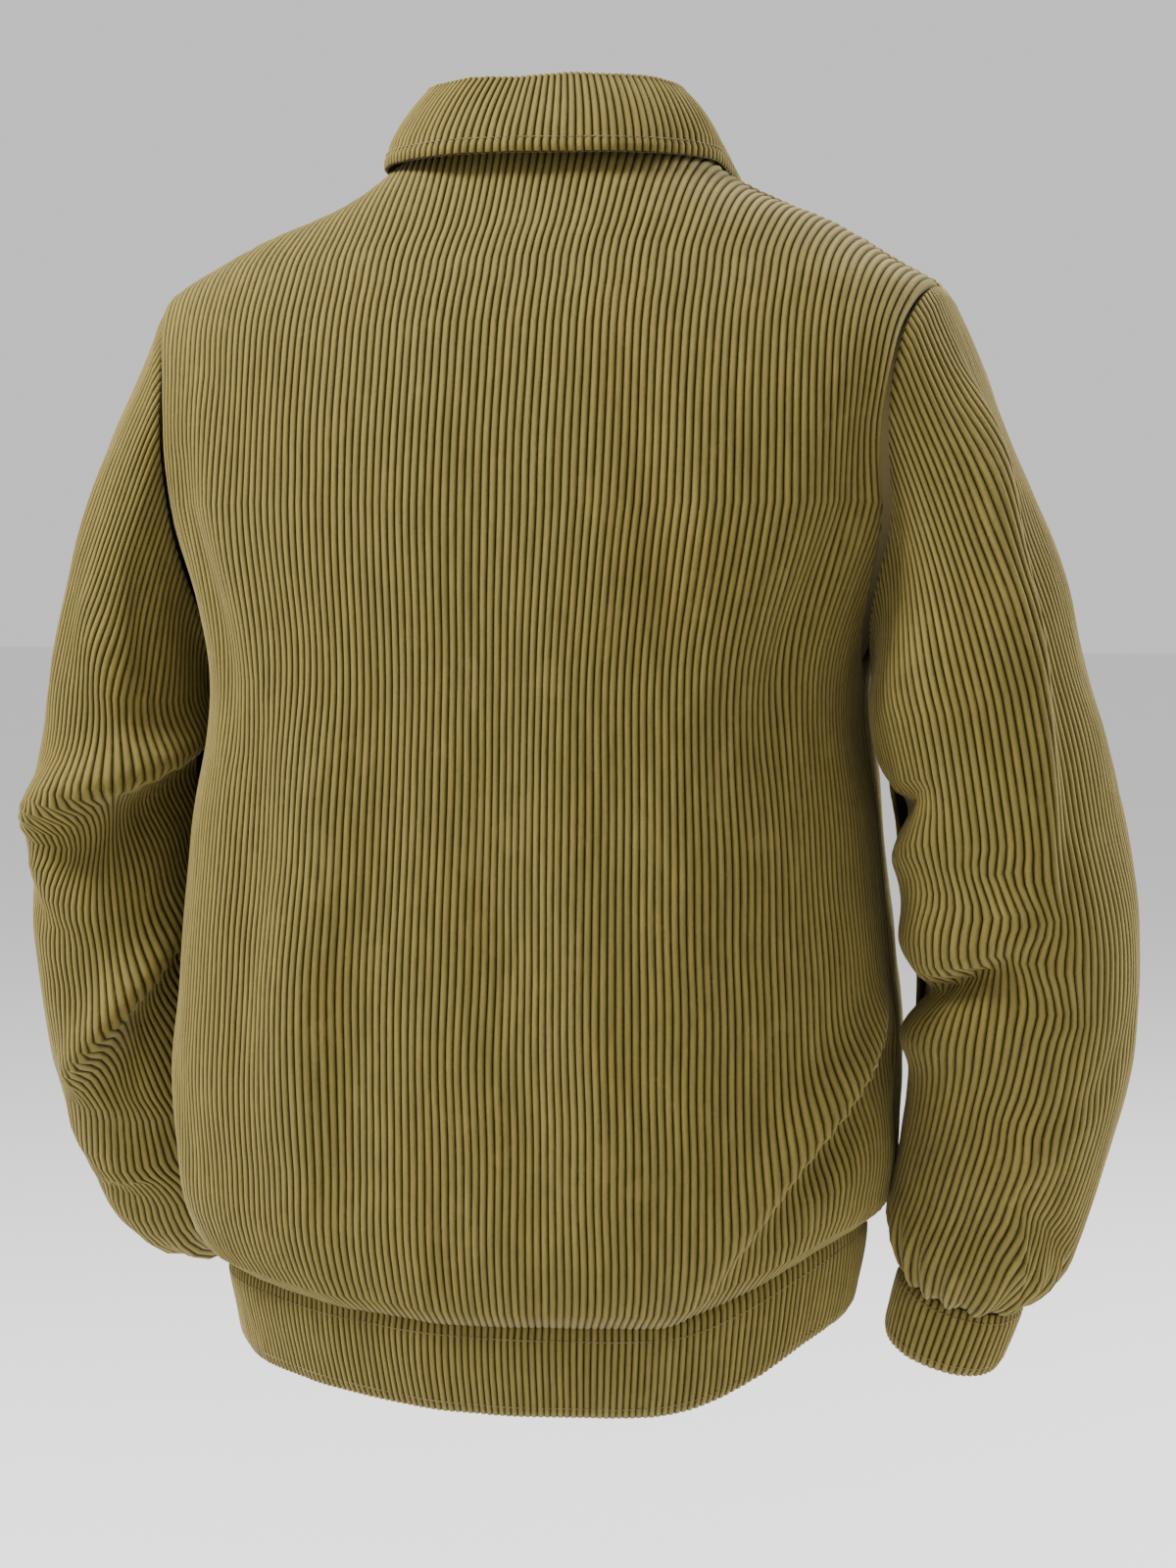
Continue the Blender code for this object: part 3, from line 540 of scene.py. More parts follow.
def top_height(arc, back):
    """Top of the panel inside the shoulder width: the shoulder line, then the neck edge."""
    across = np.abs(arc)
    heights = np.linspace(SECTIONS[-1, 0], SHOULDER_POINT, RING_POINTS)
    halves = section(SECTIONS, heights)[0]
    shoulder = np.interp(across, halves, heights)
    point = np.interp(NECK_HALF, halves, heights)
    middle = 0.0 if back else NECK_FRONT
    curve = BACK_NECK_CURVE if back else FRONT_NECK_CURVE
    neck = middle + (point - middle) * (across / NECK_HALF) ** curve
    return np.where(across < NECK_HALF, neck, shoulder)


def lift(x, y, height):
    """How far the lower body is raised at its sides."""
    low = smooth_step((HEM_LIFT_FROM - height) / (HEM_LIFT_FROM - BAND_TOP))
    out = -x - HEM_LIFT_TURN * y
    right = HEM_LIFT_RIGHT * smooth_step((out - HEM_LIFT_START) / (HEM_LIFT_REACH - HEM_LIFT_START))
    left = HEM_LIFT_LEFT * smooth_step(x / HEM_LIFT_REACH)
    return low * (right + left)


def body_grid(side, back, arcs, rows):
    """Points of one half of a body panel. arcs go out from the centre line; rows are a pair of
    lists of shares, first up to the armhole's turn and then on to the shoulder."""
    lower, upper = rows
    grid = np.full((len(lower) + len(upper), len(arcs), 3), np.nan)
    bottom = BAND_TOP + SEAM
    middle = np.where(np.abs(arcs) > SHOULDER_HALF, armhole_height(arcs), ARMHOLE_TURN)
    levels = np.linspace(bottom, ARMHOLE_TURN, BODY_LEVELS)
    table = quarter_points(SECTIONS, levels, side, back, arcs)
    heights = bottom + (middle[None, :] - bottom) * lower[:, None]
    place = np.clip((heights - bottom) / (levels[1] - levels[0]), 0.0, len(levels) - 1.001)
    low = place.astype(int)
    share = (place - low)[..., None]
    columns = np.arange(len(arcs))[None, :]
    grid[:len(lower), :, :2] = table[low, columns] * (1.0 - share) + table[low + 1, columns] * share
    grid[:len(lower), :, 2] = heights
    inside = np.abs(arcs) <= SHOULDER_HALF + 1e-9
    low_x = table[-1, :, 0] - section(SECTIONS, np.array(ARMHOLE_TURN))[4]
    top_x = side * arcs
    tops = top_height(arcs, back)
    for i, share in enumerate(upper):
        reach = 1.0 - (1.0 - share) ** 2
        height = ARMHOLE_TURN + (tops - ARMHOLE_TURN) * reach
        x = low_x + (top_x - low_x) * reach ** 3
        right, left, deep_back, deep_front, middle, centre, square = section(SECTIONS, height)
        half = left if side > 0 else right
        depth = deep_back if back else -deep_front
        part = np.clip(1.0 - (np.abs(x) / half) ** square, 0.0, 1.0)
        y = centre + depth * part ** (1.0 / square)
        grid[len(lower) + i, inside] = np.stack([x + middle, y, height], axis=-1)[inside]
    return grid


def difference(grid, axis):
    """Central differences that become one-sided beside an edge or an empty place."""
    forward = np.roll(grid, -1, axis=axis) - grid
    backward = grid - np.roll(grid, 1, axis=axis)
    last = [slice(None)] * grid.ndim
    first = [slice(None)] * grid.ndim
    last[axis] = -1
    first[axis] = 0
    forward[tuple(last)] = np.nan
    backward[tuple(first)] = np.nan
    both = 0.5 * (forward + backward)
    return np.where(np.isnan(both), np.where(np.isnan(forward), backward, forward), both)


def unit(vectors):
    """The same directions with length 1."""
    return vectors / np.maximum(np.linalg.norm(vectors, axis=-1, keepdims=True), 1e-12)


def summed(steps):
    """How far along a line each point is, from the steps between its points."""
    return np.concatenate([[0.0], np.cumsum(steps)])


def line_way(points):
    """How far along a line of points in space each point is."""
    return summed(np.linalg.norm(np.diff(points, axis=0), axis=1))


def arm_frames(table, shares):
    """Centres, directions and reaches of the sleeve's sections at shares of the arm's length."""
    way = line_way(table[:, :3])
    at = np.asarray(shares) * way[-1]
    values = through(way, table, at)
    ahead = through(way, table[:, :3], at + ARM_STEP)
    behind = through(way, table[:, :3], at - ARM_STEP)
    side = np.sign(table[0, 0])
    down = unit(ahead - behind)
    out = unit(np.array([side, 0.0, 0.0]) - down * (down[:, :1] * side))
    aft = np.cross(down, out) * side
    aft *= np.sign(aft[:, 1:2])
    return values[:, :3], down, out, aft, values[:, 3:], way[-1]


def arm_ring(centre, out, aft, reach, shares):
    """Points round one section of the sleeve. Share 0 is its outer side and 1/4 its back."""
    turn = np.linspace(0.0, 2.0 * np.pi, 4 * RING_POINTS)
    power = 2.0 / SLEEVE_SQUARENESS
    x = np.sign(np.cos(turn)) * np.abs(np.cos(turn)) ** power
    x = np.where(x > 0.0, reach[0], reach[1]) * x
    y = reach[2] * np.sign(np.sin(turn)) * np.abs(np.sin(turn)) ** power
    way = summed(np.hypot(np.diff(x), np.diff(y)))
    wanted = np.asarray(shares) * way[-1]
    return centre + np.interp(wanted, way, x)[:, None] * out + np.interp(wanted, way, y)[:, None] * aft


# ---------------------------------------------------------------- wales, unevenness and shells
def wale_columns(first, last):
    """Places across a panel where its wales are modelled, and which of them are grooves or ends."""
    grooves = np.arange(np.floor(first / PITCH), np.ceil(last / PITCH) + 1.0) * PITCH
    places = (grooves[:, None] + np.array(WALE_STEPS)[None, :] * PITCH).ravel()
    places = places[(places > first + 0.02 * PITCH) & (places < last - 0.02 * PITCH)]
    places = np.concatenate([[first], places, [last]])
    away = np.abs(places / PITCH - np.round(places / PITCH))
    coarse = np.flatnonzero(away < 0.001)
    ends = [0] + [int(c) for c in coarse if 0 < c < len(places) - 1] + [len(places) - 1]
    return places, np.array(ends)


def wale_profile(place):
    """Height of the pile from 0 in a groove to 1 on top of a wale. place is measured in metres."""
    across = 2.0 * ((place / PITCH) % 1.0) - 1.0
    return np.clip(1.0 - np.abs(across) ** WALE_SQUARENESS, 0.0, 1.0) ** WALE_FULLNESS


def soft_noise(x, y, seed, size):
    """Smooth unevenness from about -1 to 1, with lumps of the given size."""
    random = np.random.RandomState(seed)
    total = np.zeros(np.broadcast(x, y).shape)
    for _ in range(NOISE_WAVES):
        angle = random.uniform(0.0, 2.0 * np.pi)
        wave = np.pi / size * random.uniform(*NOISE_SPREAD)
        phase = random.uniform(0.0, 2.0 * np.pi)
        total += np.sin(wave * (np.cos(angle) * x + np.sin(angle) * y) + phase)
    return total / np.sqrt(2.0 * NOISE_WAVES)


def unevenness(part, x, y):
    """How far a part's cloth is raised by the lumps that no fold accounts for."""
    height, seed, size = UNEVENNESS[part]
    return height * soft_noise(x, y, seed, size)


def outward(grid, facing):
    """Unit normals of a grid of points. facing is 1 or -1, to make them point out."""
    return facing * unit(np.cross(difference(grid, 1), difference(grid, 0)))


def distance_to(grid, line):
    """Distance from each point of a grid to the nearest point of a line of points."""
    line = line[~np.isnan(line[:, 0])]
    tree = KDTree(len(line))
    for i, point in enumerate(line):
        tree.insert(point, i)
    tree.balance()
    found = np.full(grid.shape[:2], np.inf)
    for i, j in zip(*np.nonzero(~np.isnan(grid[..., 0]))):
        found[i, j] = tree.find(grid[i, j])[2]
    return found


def cloth_shell(name, grid, normals, across, along, coarse, filled, dips, facing):
    """A closed wall of corduroy: fine wales on its right side and a plain wrong side.
    grid is its surface, across and along are each point's place in the flat cut, coarse lists the
    columns that the wrong side has too, and filled tells which of its cells are cloth."""
    height = wale_profile(across)
    uneven = 1.0 + WALE_UNEVEN * soft_noise(across * WALE_DRAWN_OUT, along, WALE_SEED, WALE_LUMP)
    rise = WALE_HEIGHT * (height * uneven - 0.5) - dips
    free = 1.0 - np.clip(dips / SEAM_DIP, 0.0, 1.0)
    sway = WALE_SWAY * soft_noise(across, along, SWAY_SEED, SWAY_LENGTH) * free
    grid = grid + unit(difference(grid, 1)) * sway[..., None]
    outer = grid + normals * rise[..., None]
    inner = (grid - normals * (BACKING + dips[..., None] * INNER_DIP))[:, coarse]
    fine_filled = np.repeat(filled, np.diff(coarse), axis=1)
    numbers = []
    count = 0
    for cells in (fine_filled, filled):
        used = np.zeros((cells.shape[0] + 1, cells.shape[1] + 1), bool)
        for down in (0, 1):
            for over in (0, 1):
                used[down:down + cells.shape[0], over:over + cells.shape[1]] |= cells
        number = np.full(used.shape, -1)
        number[used] = np.arange(used.sum()) + count
        count += used.sum()
        numbers.append((number, used))
    (out_number, out_used), (in_number, in_used) = numbers
    faces = quads(out_number, fine_filled) + [q[::-1] for q in quads(in_number, filled)]
    faces += rims(out_number, in_number, coarse, filled)
    if facing < 0:
        faces = [face[::-1] for face in faces]
    mesh = bpy.data.meshes.new(name)
    mesh.from_pydata(np.concatenate([outer[out_used], inner[in_used]]).tolist(), [], faces)
    wales = np.concatenate([height[out_used], np.full(in_used.sum(), 0.5)])
    wrong = np.concatenate([np.zeros(out_used.sum()), np.ones(in_used.sum())])
    place = np.stack([across, along, np.zeros_like(across)], axis=-1)
    places = np.concatenate([place[out_used], place[:, coarse][in_used]])
    for label, kind, values in (("wale", "FLOAT", wales), ("wrong", "FLOAT", wrong),
                                ("cloth", "FLOAT_VECTOR", places)):
        attribute = mesh.attributes.new(label, kind, "POINT")
        attribute.data.foreach_set("vector" if kind == "FLOAT_VECTOR" else "value",
                                   values.astype(np.float32).ravel())
    mesh.shade_smooth()
    return added(name, mesh)


def quads(number, filled):
    """One face for each filled cell of a grid of vertex numbers."""
    i, j = np.nonzero(filled)
    corners = [number[i, j], number[i, j + 1], number[i + 1, j + 1], number[i + 1, j]]
    return np.stack(corners, axis=-1).tolist()


def rims(outer, inner, coarse, filled):
    """Faces that join the two sides of the cloth along every edge."""
    around = np.pad(filled, 1)
    faces = []
    for i, j in zip(*np.nonzero(filled)):
        first, last = coarse[j], coarse[j + 1]
        if not around[i, j + 1]:
            faces.append([*outer[i, first:last + 1][::-1], inner[i, j], inner[i, j + 1]])
        if not around[i + 2, j + 1]:
            faces.append([*outer[i + 1, first:last + 1], inner[i + 1, j + 1], inner[i + 1, j]])
        if not around[i + 1, j]:
            faces.append([outer[i, first], outer[i + 1, first], inner[i + 1, j], inner[i, j]])
        if not around[i + 1, j + 2]:
            faces.append([outer[i + 1, last], outer[i, last], inner[i, j + 1], inner[i + 1, j + 1]])
    return [[int(n) for n in face] for face in faces]


def seam_dip(grid, *lines):
    """How far the cloth turns in near the sewn edges that run along the given lines."""
    near = np.min([distance_to(grid, line) for line in lines], axis=0)
    return SEAM_DIP * np.exp(-(near / SEAM_WIDTH) ** 2)


def stitch_dip(off):
    """How far a row of stitches at distance 0 presses down the pile."""
    return STITCH_DIP * np.exp(-(off / STITCH_WIDTH) ** 2)


# ---------------------------------------------------------------- the body
def body_rows():
    """Shares of the way up a body panel, to the armhole's turn and then to the shoulder."""
    return np.linspace(0.0, 1.0, LOWER_ROWS + 1), np.linspace(0.0, 1.0, UPPER_ROWS + 1)[1:]


def body_cells(places, coarse):
    """Which coarse cells of a body panel are cloth: above the turn only those inside the armholes."""
    inside = np.abs(places[coarse]) <= SHOULDER_HALF + 1e-6
    filled = np.ones((LOWER_ROWS + UPPER_ROWS, len(coarse) - 1), bool)
    filled[LOWER_ROWS:] = inside[:-1] & inside[1:]
    return filled


def edge_lines(grid, filled_columns):
    """The bottom, top and two side edges of a panel whose columns end at different rows."""
    last = [int(np.flatnonzero(~np.isnan(grid[:, j, 0]))[-1]) for j in range(grid.shape[1])]
    top = grid[last, np.arange(grid.shape[1])]
    upright = [grid[LOWER_ROWS:, j] for j in filled_columns]
    return grid[0], top, grid[:, 0], grid[:, -1], *upright


def fold_body(grid, around, facing, creases, breaks=()):
    """Adds folds, creases and unevenness to a body panel, and raises its hem at the sides."""
    height = grid[..., 2]
    lifted = fold_height(around, height, BODY_FOLDS) + fold_height(around, height, creases)
    lifted = lifted + break_height(around, height, breaks)
    lifted = lifted + unevenness("body", around, height)
    grid = grid + outward(grid, facing) * lifted[..., None]
    grid[..., 2] += lift(grid[..., 0], grid[..., 1], grid[..., 2])
    return grid


def make_back():
    """The back: one panel from side seam to side seam."""
    places, coarse = wale_columns(-CHEST_QUARTER + SEAM, CHEST_QUARTER - SEAM)
    rows = body_rows()
    right = body_grid(-1, True, -places[places < 0.0], rows)
    left = body_grid(1, True, places[places >= 0.0], rows)
    grid = np.concatenate([right, left], axis=1)
    grid[-1, ..., 1] += SEAM
    across = np.broadcast_to(places, grid.shape[:2])
    grid = fold_body(grid, across, -1, BACK_CREASES, BACK_BREAKS)
    armholes = [int(np.argmin(np.abs(places - edge))) for edge in (-SHOULDER_HALF, SHOULDER_HALF)]
    dips = seam_dip(grid, *edge_lines(grid, armholes))
    return cloth_shell("cloth_back", grid, outward(grid, -1), across, grid[..., 2], coarse,
                       body_cells(places, coarse), dips, -1)


def make_front(name, side):
    """A front, from its edge past the centre line to the side seam. The left one lies on the right."""
    places, coarse = wale_columns(-OVERLAP, CHEST_QUARTER - SEAM)
    grid = body_grid(side, False, places, body_rows())
    grid[-1, ..., 1] -= SEAM
    around = np.broadcast_to(side * (2.0 * CHEST_QUARTER - places), grid.shape[:2])
    grid = fold_body(grid, around, side, FRONT_CREASES)
    if side > 0:
        grid[..., 1] -= (WALL + EASE) * (1.0 - smooth_step((places - OVERLAP) / OVERLAP_RAMP))
    armhole = int(np.argmin(np.abs(places - SHOULDER_HALF)))
    dips = seam_dip(grid, *edge_lines(grid, [armhole]))
    dips = dips + stitch_dip(places + OVERLAP - FRONT_STITCHES)[None, :]
    across = np.broadcast_to(places, grid.shape[:2])
    piece = cloth_shell("cloth_" + name, grid, outward(grid, side), across, grid[..., 2], coarse,
                        body_cells(places, coarse), dips, side)
    return piece, grid, places


def band_strip(side, back, arcs, heights):
    """Points of a quarter of the hem band."""
    points = quarter_points(BAND_SECTIONS, heights, side, back, arcs)
    grid = np.empty((len(heights), len(arcs), 3))
    grid[..., :2] = points
    grid[..., 2] = heights[:, None]
    if side > 0 and not back:
        grid[..., 1] -= (WALL + EASE) * (1.0 - smooth_step((arcs - OVERLAP) / OVERLAP_RAMP))
    return grid


def make_band():
    """The hem band: one strip round the hips from the right front edge to the left one."""
    whole = 2.0 * CHEST_QUARTER + OVERLAP
    places, coarse = wale_columns(-whole, whole)
    level = np.linspace(BAND_TOP - BAND_HEIGHT, BAND_TOP - SEAM, BAND_ROWS + 1)
    heights = np.append(level, level[-1])
    strips = []
    for side in (-1, 1):
        for back in ((False, True) if side < 0 else (True, False)):
            out = side * places
            part = (out >= 0.0 if side > 0 else out > 0.0)
            part = part & ((out <= CHEST_QUARTER) if back else (out > CHEST_QUARTER))
            arcs = out[part] if back else 2.0 * CHEST_QUARTER - out[part]
            strips.append(band_strip(side, back, arcs, heights))
    grid = np.concatenate(strips, axis=1)
    along = np.broadcast_to(heights[:, None], grid.shape[:2])
    grid[..., 2] += lift(grid[..., 0], grid[..., 1], np.full(grid.shape[:2], BAND_TOP))
    across = np.broadcast_to(places, grid.shape[:2])
    uneven = unevenness("band", across, along)
    normals = outward(grid[:-1], -1)
    normals = np.concatenate([normals, normals[-1:]])
    grid = grid + normals * uneven[..., None]
    grid[-1] += [0.0, 0.0, ALLOWANCE] - normals[-1] * ALLOWANCE_INSET
    filled = np.ones((BAND_ROWS + 1, len(coarse) - 1), bool)
    dips = seam_dip(grid, grid[-2], grid[0])
    dips = dips + stitch_dip(along - (BAND_TOP - BAND_STITCHES)) + stitch_dip(
        along - (BAND_TOP - BAND_HEIGHT + BAND_STITCHES))
    piece = cloth_shell("cloth_hem_band", grid, normals, across, along, coarse, filled, dips, -1)
    return piece, grid


# ---------------------------------------------------------------- the sleeves
def armhole_loop(side):
    """The armhole's edge from the shoulder point down the back, under the arm and up the front."""
    arcs = np.concatenate([[SHOULDER_HALF], np.linspace(SHOULDER_HALF, CHEST_QUARTER, 24)[1:]])
    rows = (np.array([0.0, 1.0]), np.linspace(0.0, 1.0, 25)[1:])
    halves = []
    for back in (True, False):
        grid = body_grid(side, back, arcs, rows)
        halves.append(np.concatenate([grid[1:, 0][::-1], grid[1, 1:]]))
    return np.concatenate([halves[0], halves[1][-2:0:-1]])


def loop_shares(loop):
    """Share of the way round at each point of a closed loop, with the underarm point at a half."""
    steps = np.linalg.norm(np.roll(loop, -1, axis=0) - loop, axis=1)
    way = summed(steps)[:-1]
    lowest = int(np.argmin(loop[:, 2]))
    total = steps.sum()
    return np.where(way <= way[lowest], 0.5 * way / way[lowest],
                    0.5 + 0.5 * (way - way[lowest]) / (total - way[lowest]))


def round_loop(shares, points, wanted):
    """Points of a closed loop at the wanted shares, which may be below 0."""
    closed = np.concatenate([points, points[:1]])
    at = np.concatenate([shares, [1.0]])
    return np.stack([np.interp(wanted % 1.0, at, closed[:, k]) for k in range(3)], axis=-1)


def head_shares(places):
    """Share of the armhole at which each wale of the sleeve's head starts, by the head's own curve."""
    half = SLEEVE_GIRTH / 2
    x = np.linspace(0.0, half, CURVE_POINTS)
    curve = CAP_HEIGHT * (0.5 + 0.5 * np.cos(np.pi * x / half))
    way = summed(np.hypot(np.diff(x), np.diff(curve)))
    return np.sign(places) * 0.5 * np.interp(np.abs(places), x, way / way[-1])


def sleeve_points(name, places):
    """Points of a sleeve as it was cut: a column for each place across, from the armhole to the
    cuff seam or to the underarm seam. Also the place along and the share of the way round."""
    table = SLEEVES[name]
    side = np.sign(table[0, 0])
    loop = armhole_loop(side)
    start_shares = loop_shares(loop)
    levels = np.linspace(0.0, 1.0, SLEEVE_LEVELS)
    turns = np.linspace(0.0, 1.0, SLEEVE_TURNS)
    centres, down, out, aft, reach, length = arm_frames(table, levels)
    rings = np.array([arm_ring(centres[i], out[i], aft[i], reach[i], turns) for i in range(len(levels))])

    head = head_shares(places)
    foot = places / SLEEVE_GIRTH
    rows, around, along = [], [], []
    top_shares = np.linspace(-0.5, 0.5, HEAD_POINTS)
    spans = top_shares * SLEEVE_GIRTH
    pattern_edge = np.interp(top_shares, head_shares(spans), spans)
    first = round_loop(turns[:-1], rings[0][:-1], foot)
    longest = np.linalg.norm(first - round_loop(start_shares, loop, head), axis=1).max()
    for share in np.linspace(0.0, 1.0, CAP_ROWS + 1):
        rest = 1.0 - share
        across = pattern_edge * rest + spans * share
        at = np.interp(places, across, top_shares)
        start = round_loop(start_shares, loop, at) + [side * ARMHOLE_GAP, 0.0, -0.5 * ARMHOLE_GAP]
        end = round_loop(turns[:-1], rings[0][:-1], at)
        span = np.linalg.norm(end - start, axis=1, keepdims=True)
        upper = 0.5 + 0.5 * np.cos(2.0 * np.pi * at)[:, None]
        leave = (np.array([side * CAP_LEAVE_TOP[0], 0.0, CAP_LEAVE_TOP[1]]) * upper
                 + np.array([side * CAP_LEAVE_UNDERARM[0], 0.0, CAP_LEAVE_UNDERARM[1]]) * (1.0 - upper))
        rows.append((1.0 + 2.0 * share) * rest * rest * start + share * rest * rest * span * leave
                    + share * share * (3.0 - 2.0 * share) * end - share * share * rest * span * down[0])
        around.append(at)
        along.append(longest - rest * span[:, 0])

    reached = np.clip((SLEEVE_GIRTH - 2.0 * np.abs(places)) / (SLEEVE_GIRTH - SLEEVE_END), 0.0, 1.0)
    for share in np.linspace(0.0, 1.0, TUBE_ROWS + 1)[1:]:
        level = share * reached
        width = SLEEVE_GIRTH + (SLEEVE_END - SLEEVE_GIRTH) * level
        at = np.clip(places / width, -0.5, 0.5)
        low = np.clip((level * (len(levels) - 1)).astype(int), 0, len(levels) - 2)
        part = (level * (len(levels) - 1) - low)[:, None]
        turn = (at % 1.0) * (len(turns) - 1)
        near = np.clip(turn.astype(int), 0, len(turns) - 2)
        side_part = (turn - near)[:, None]
        above = rings[low, near] * (1.0 - side_part) + rings[low, near + 1] * side_part
        below = rings[low + 1, near] * (1.0 - side_part) + rings[low + 1, near + 1] * side_part
        rows.append(above * (1.0 - part) + below * part)
        around.append(at)
        along.append(longest + level * length)
    return np.array(rows), np.array(around), np.array(along)


def make_sleeve(name, side):
    """A sleeve, cut in one piece and sewn up under the arm, then gathered into its cuff."""
    half = SLEEVE_GIRTH / 2
    places, coarse = wale_columns(-half + UNDERARM_TRIM, half - UNDERARM_TRIM)
    grid, around, along = sleeve_points(name, places)
    spread = around * SLEEVE_GIRTH
    lifted = fold_height(spread, along, SLEEVE_FOLDS[name])
    lifted = lifted + fold_height(spread, along, SLEEVE_CREASES[name])
    lifted = lifted + break_height(spread, along, SLEEVE_BREAKS[name])
    lifted = lifted + unevenness("sleeve_" + name, spread, along)
    near_cuff = smooth_step(1.0 - (along.max() - along) / GATHER_LENGTH)
    lean = (along.max() - along) * GATHER_LEAN
    bunching = GATHER_BUNCHING * np.sin(2.0 * np.pi * GATHER_BUNCHES * around)
    pleats = np.sin(2.0 * np.pi * GATHERS * around + lean + bunching)
    lifted = lifted + GATHER_HEIGHT * near_cuff * (1.0 - GATHER_CLOSING * near_cuff) * GATHER_GAIN * pleats
    row = np.arange(len(grid))[:, None]
    ends = smooth_step(row / KINK_ROWS) * smooth_step((len(grid) - 1 - row) / KINK_ROWS)
    sides = smooth_step((half - np.abs(places)) / KINK_FADE)
    kinks = fold_height(spread, along, SLEEVE_KINKS[name]) * ends * sides
    grid = grid + outward(grid, -side) * lifted[..., None] + unit(difference(grid, 1)) * kinks[..., None]
    filled = np.ones((grid.shape[0] - 1, len(coarse) - 1), bool)
    dips = seam_dip(grid, grid[0], grid[-1])
    across = np.broadcast_to(places, grid.shape[:2])
    return cloth_shell("cloth_sleeve_" + name, grid, outward(grid, -side), across, along, coarse,
                       filled, dips, -side)


def make_cuff(name, side):
    """A plain closed cuff that carries the sleeve's line on from its seam."""
    centres, down, out, aft, reach, _ = arm_frames(SLEEVES[name], [1.0])
    girth = 2.0 * CUFF_HALF_GIRTH
    places, coarse = wale_columns(-CUFF_HALF_GIRTH + SEAM, CUFF_HALF_GIRTH - SEAM)
    along = np.linspace(2.0 * SEAM, CUFF_LENGTH, CUFF_ROWS + 1)
    tapers = np.interp(along, [0.0, CUFF_LENGTH / 2, CUFF_LENGTH], CUFF_TAPERS)
    turns = np.linspace(0.0, 1.0, CUFF_TURNS)
    rings = []
    for down_by, taper in zip(along, tapers):
        ring = arm_ring(centres[0] + down[0] * down_by, out[0], aft[0], reach[0] * taper, turns)
        rings.append(round_loop(turns[:-1], ring[:-1], places / girth))
    grid = np.array(rings)
    across = np.broadcast_to(places, grid.shape[:2])
    deep = np.broadcast_to(along[:, None], grid.shape[:2])
    dips = seam_dip(grid, grid[0], grid[-1])
    dips = dips + stitch_dip(deep - CUFF_STITCHES) + stitch_dip(deep - CUFF_LENGTH + CUFF_STITCHES)
    filled = np.ones((CUFF_ROWS, len(coarse) - 1), bool)
    piece = cloth_shell("cloth_cuff_" + name, grid, outward(grid, -side), across, deep, coarse, filled,
                        dips, -side)
    return piece, grid


# ---------------------------------------------------------------- the collar
def collar_half(turns):
    """The fall's free edge, its middle, its folded top and the stand's top, for half of the collar."""
    values = through(COLLAR[:, 0], COLLAR[:, 1:], turns)
    top, edge = values[:, :3], values[:, 3:]
    middle = 0.5 * (top + edge)
    middle[:, :2] *= FALL_BULGE
    middle[:, 2] += FALL_RISE
    inner = top.copy()
    inner[:, :2] = (inner[:, :2] - [0.0, NECK_CENTRE[1]]) * STAND_INSET + [0.0, NECK_CENTRE[1]]
    inner[:, 2] -= STAND_DROP
    return edge, middle, top, inner


def neck_seam(turns):
    """Points just above the body's neck edge, from the centre back to the centre front."""
    points = []
    for back in (True, False):
        arcs = np.linspace(0.0, NECK_HALF, 60)
        points.append(body_grid(1, back, arcs, (np.array([1.0]), np.array([1.0])))[-1])
    edge = np.concatenate([points[0], points[1][-2::-1]])
    way = line_way(edge)
    seam = np.stack([np.interp(turns / 180.0 * way[-1], way, edge[:, k]) for k in range(3)], axis=-1)
    seam[:, :2] = (seam[:, :2] - NECK_CENTRE) * STAND_FOOT + [0.0, NECK_CENTRE[1]]
    seam[:, 2] += STAND_CLEAR
    return seam


def collar_columns():
    """Places of the collar's wales, measured along its middle, and the turn at each."""
    turns = np.linspace(0.0, COLLAR_END, CURVE_POINTS)
    middle = collar_half(turns)[1]
    way = line_way(middle)
    places, coarse = wale_columns(-way[-1], way[-1])
    return places, coarse, np.interp(np.abs(places), way, turns)


def across_neck(points, places):
    """Puts a half collar's points on their own side, centred on the neck."""
    placed = points.copy()
    placed[..., 0] = points[..., 0] * np.sign(places) + NECK_CENTRE[0]
    return placed


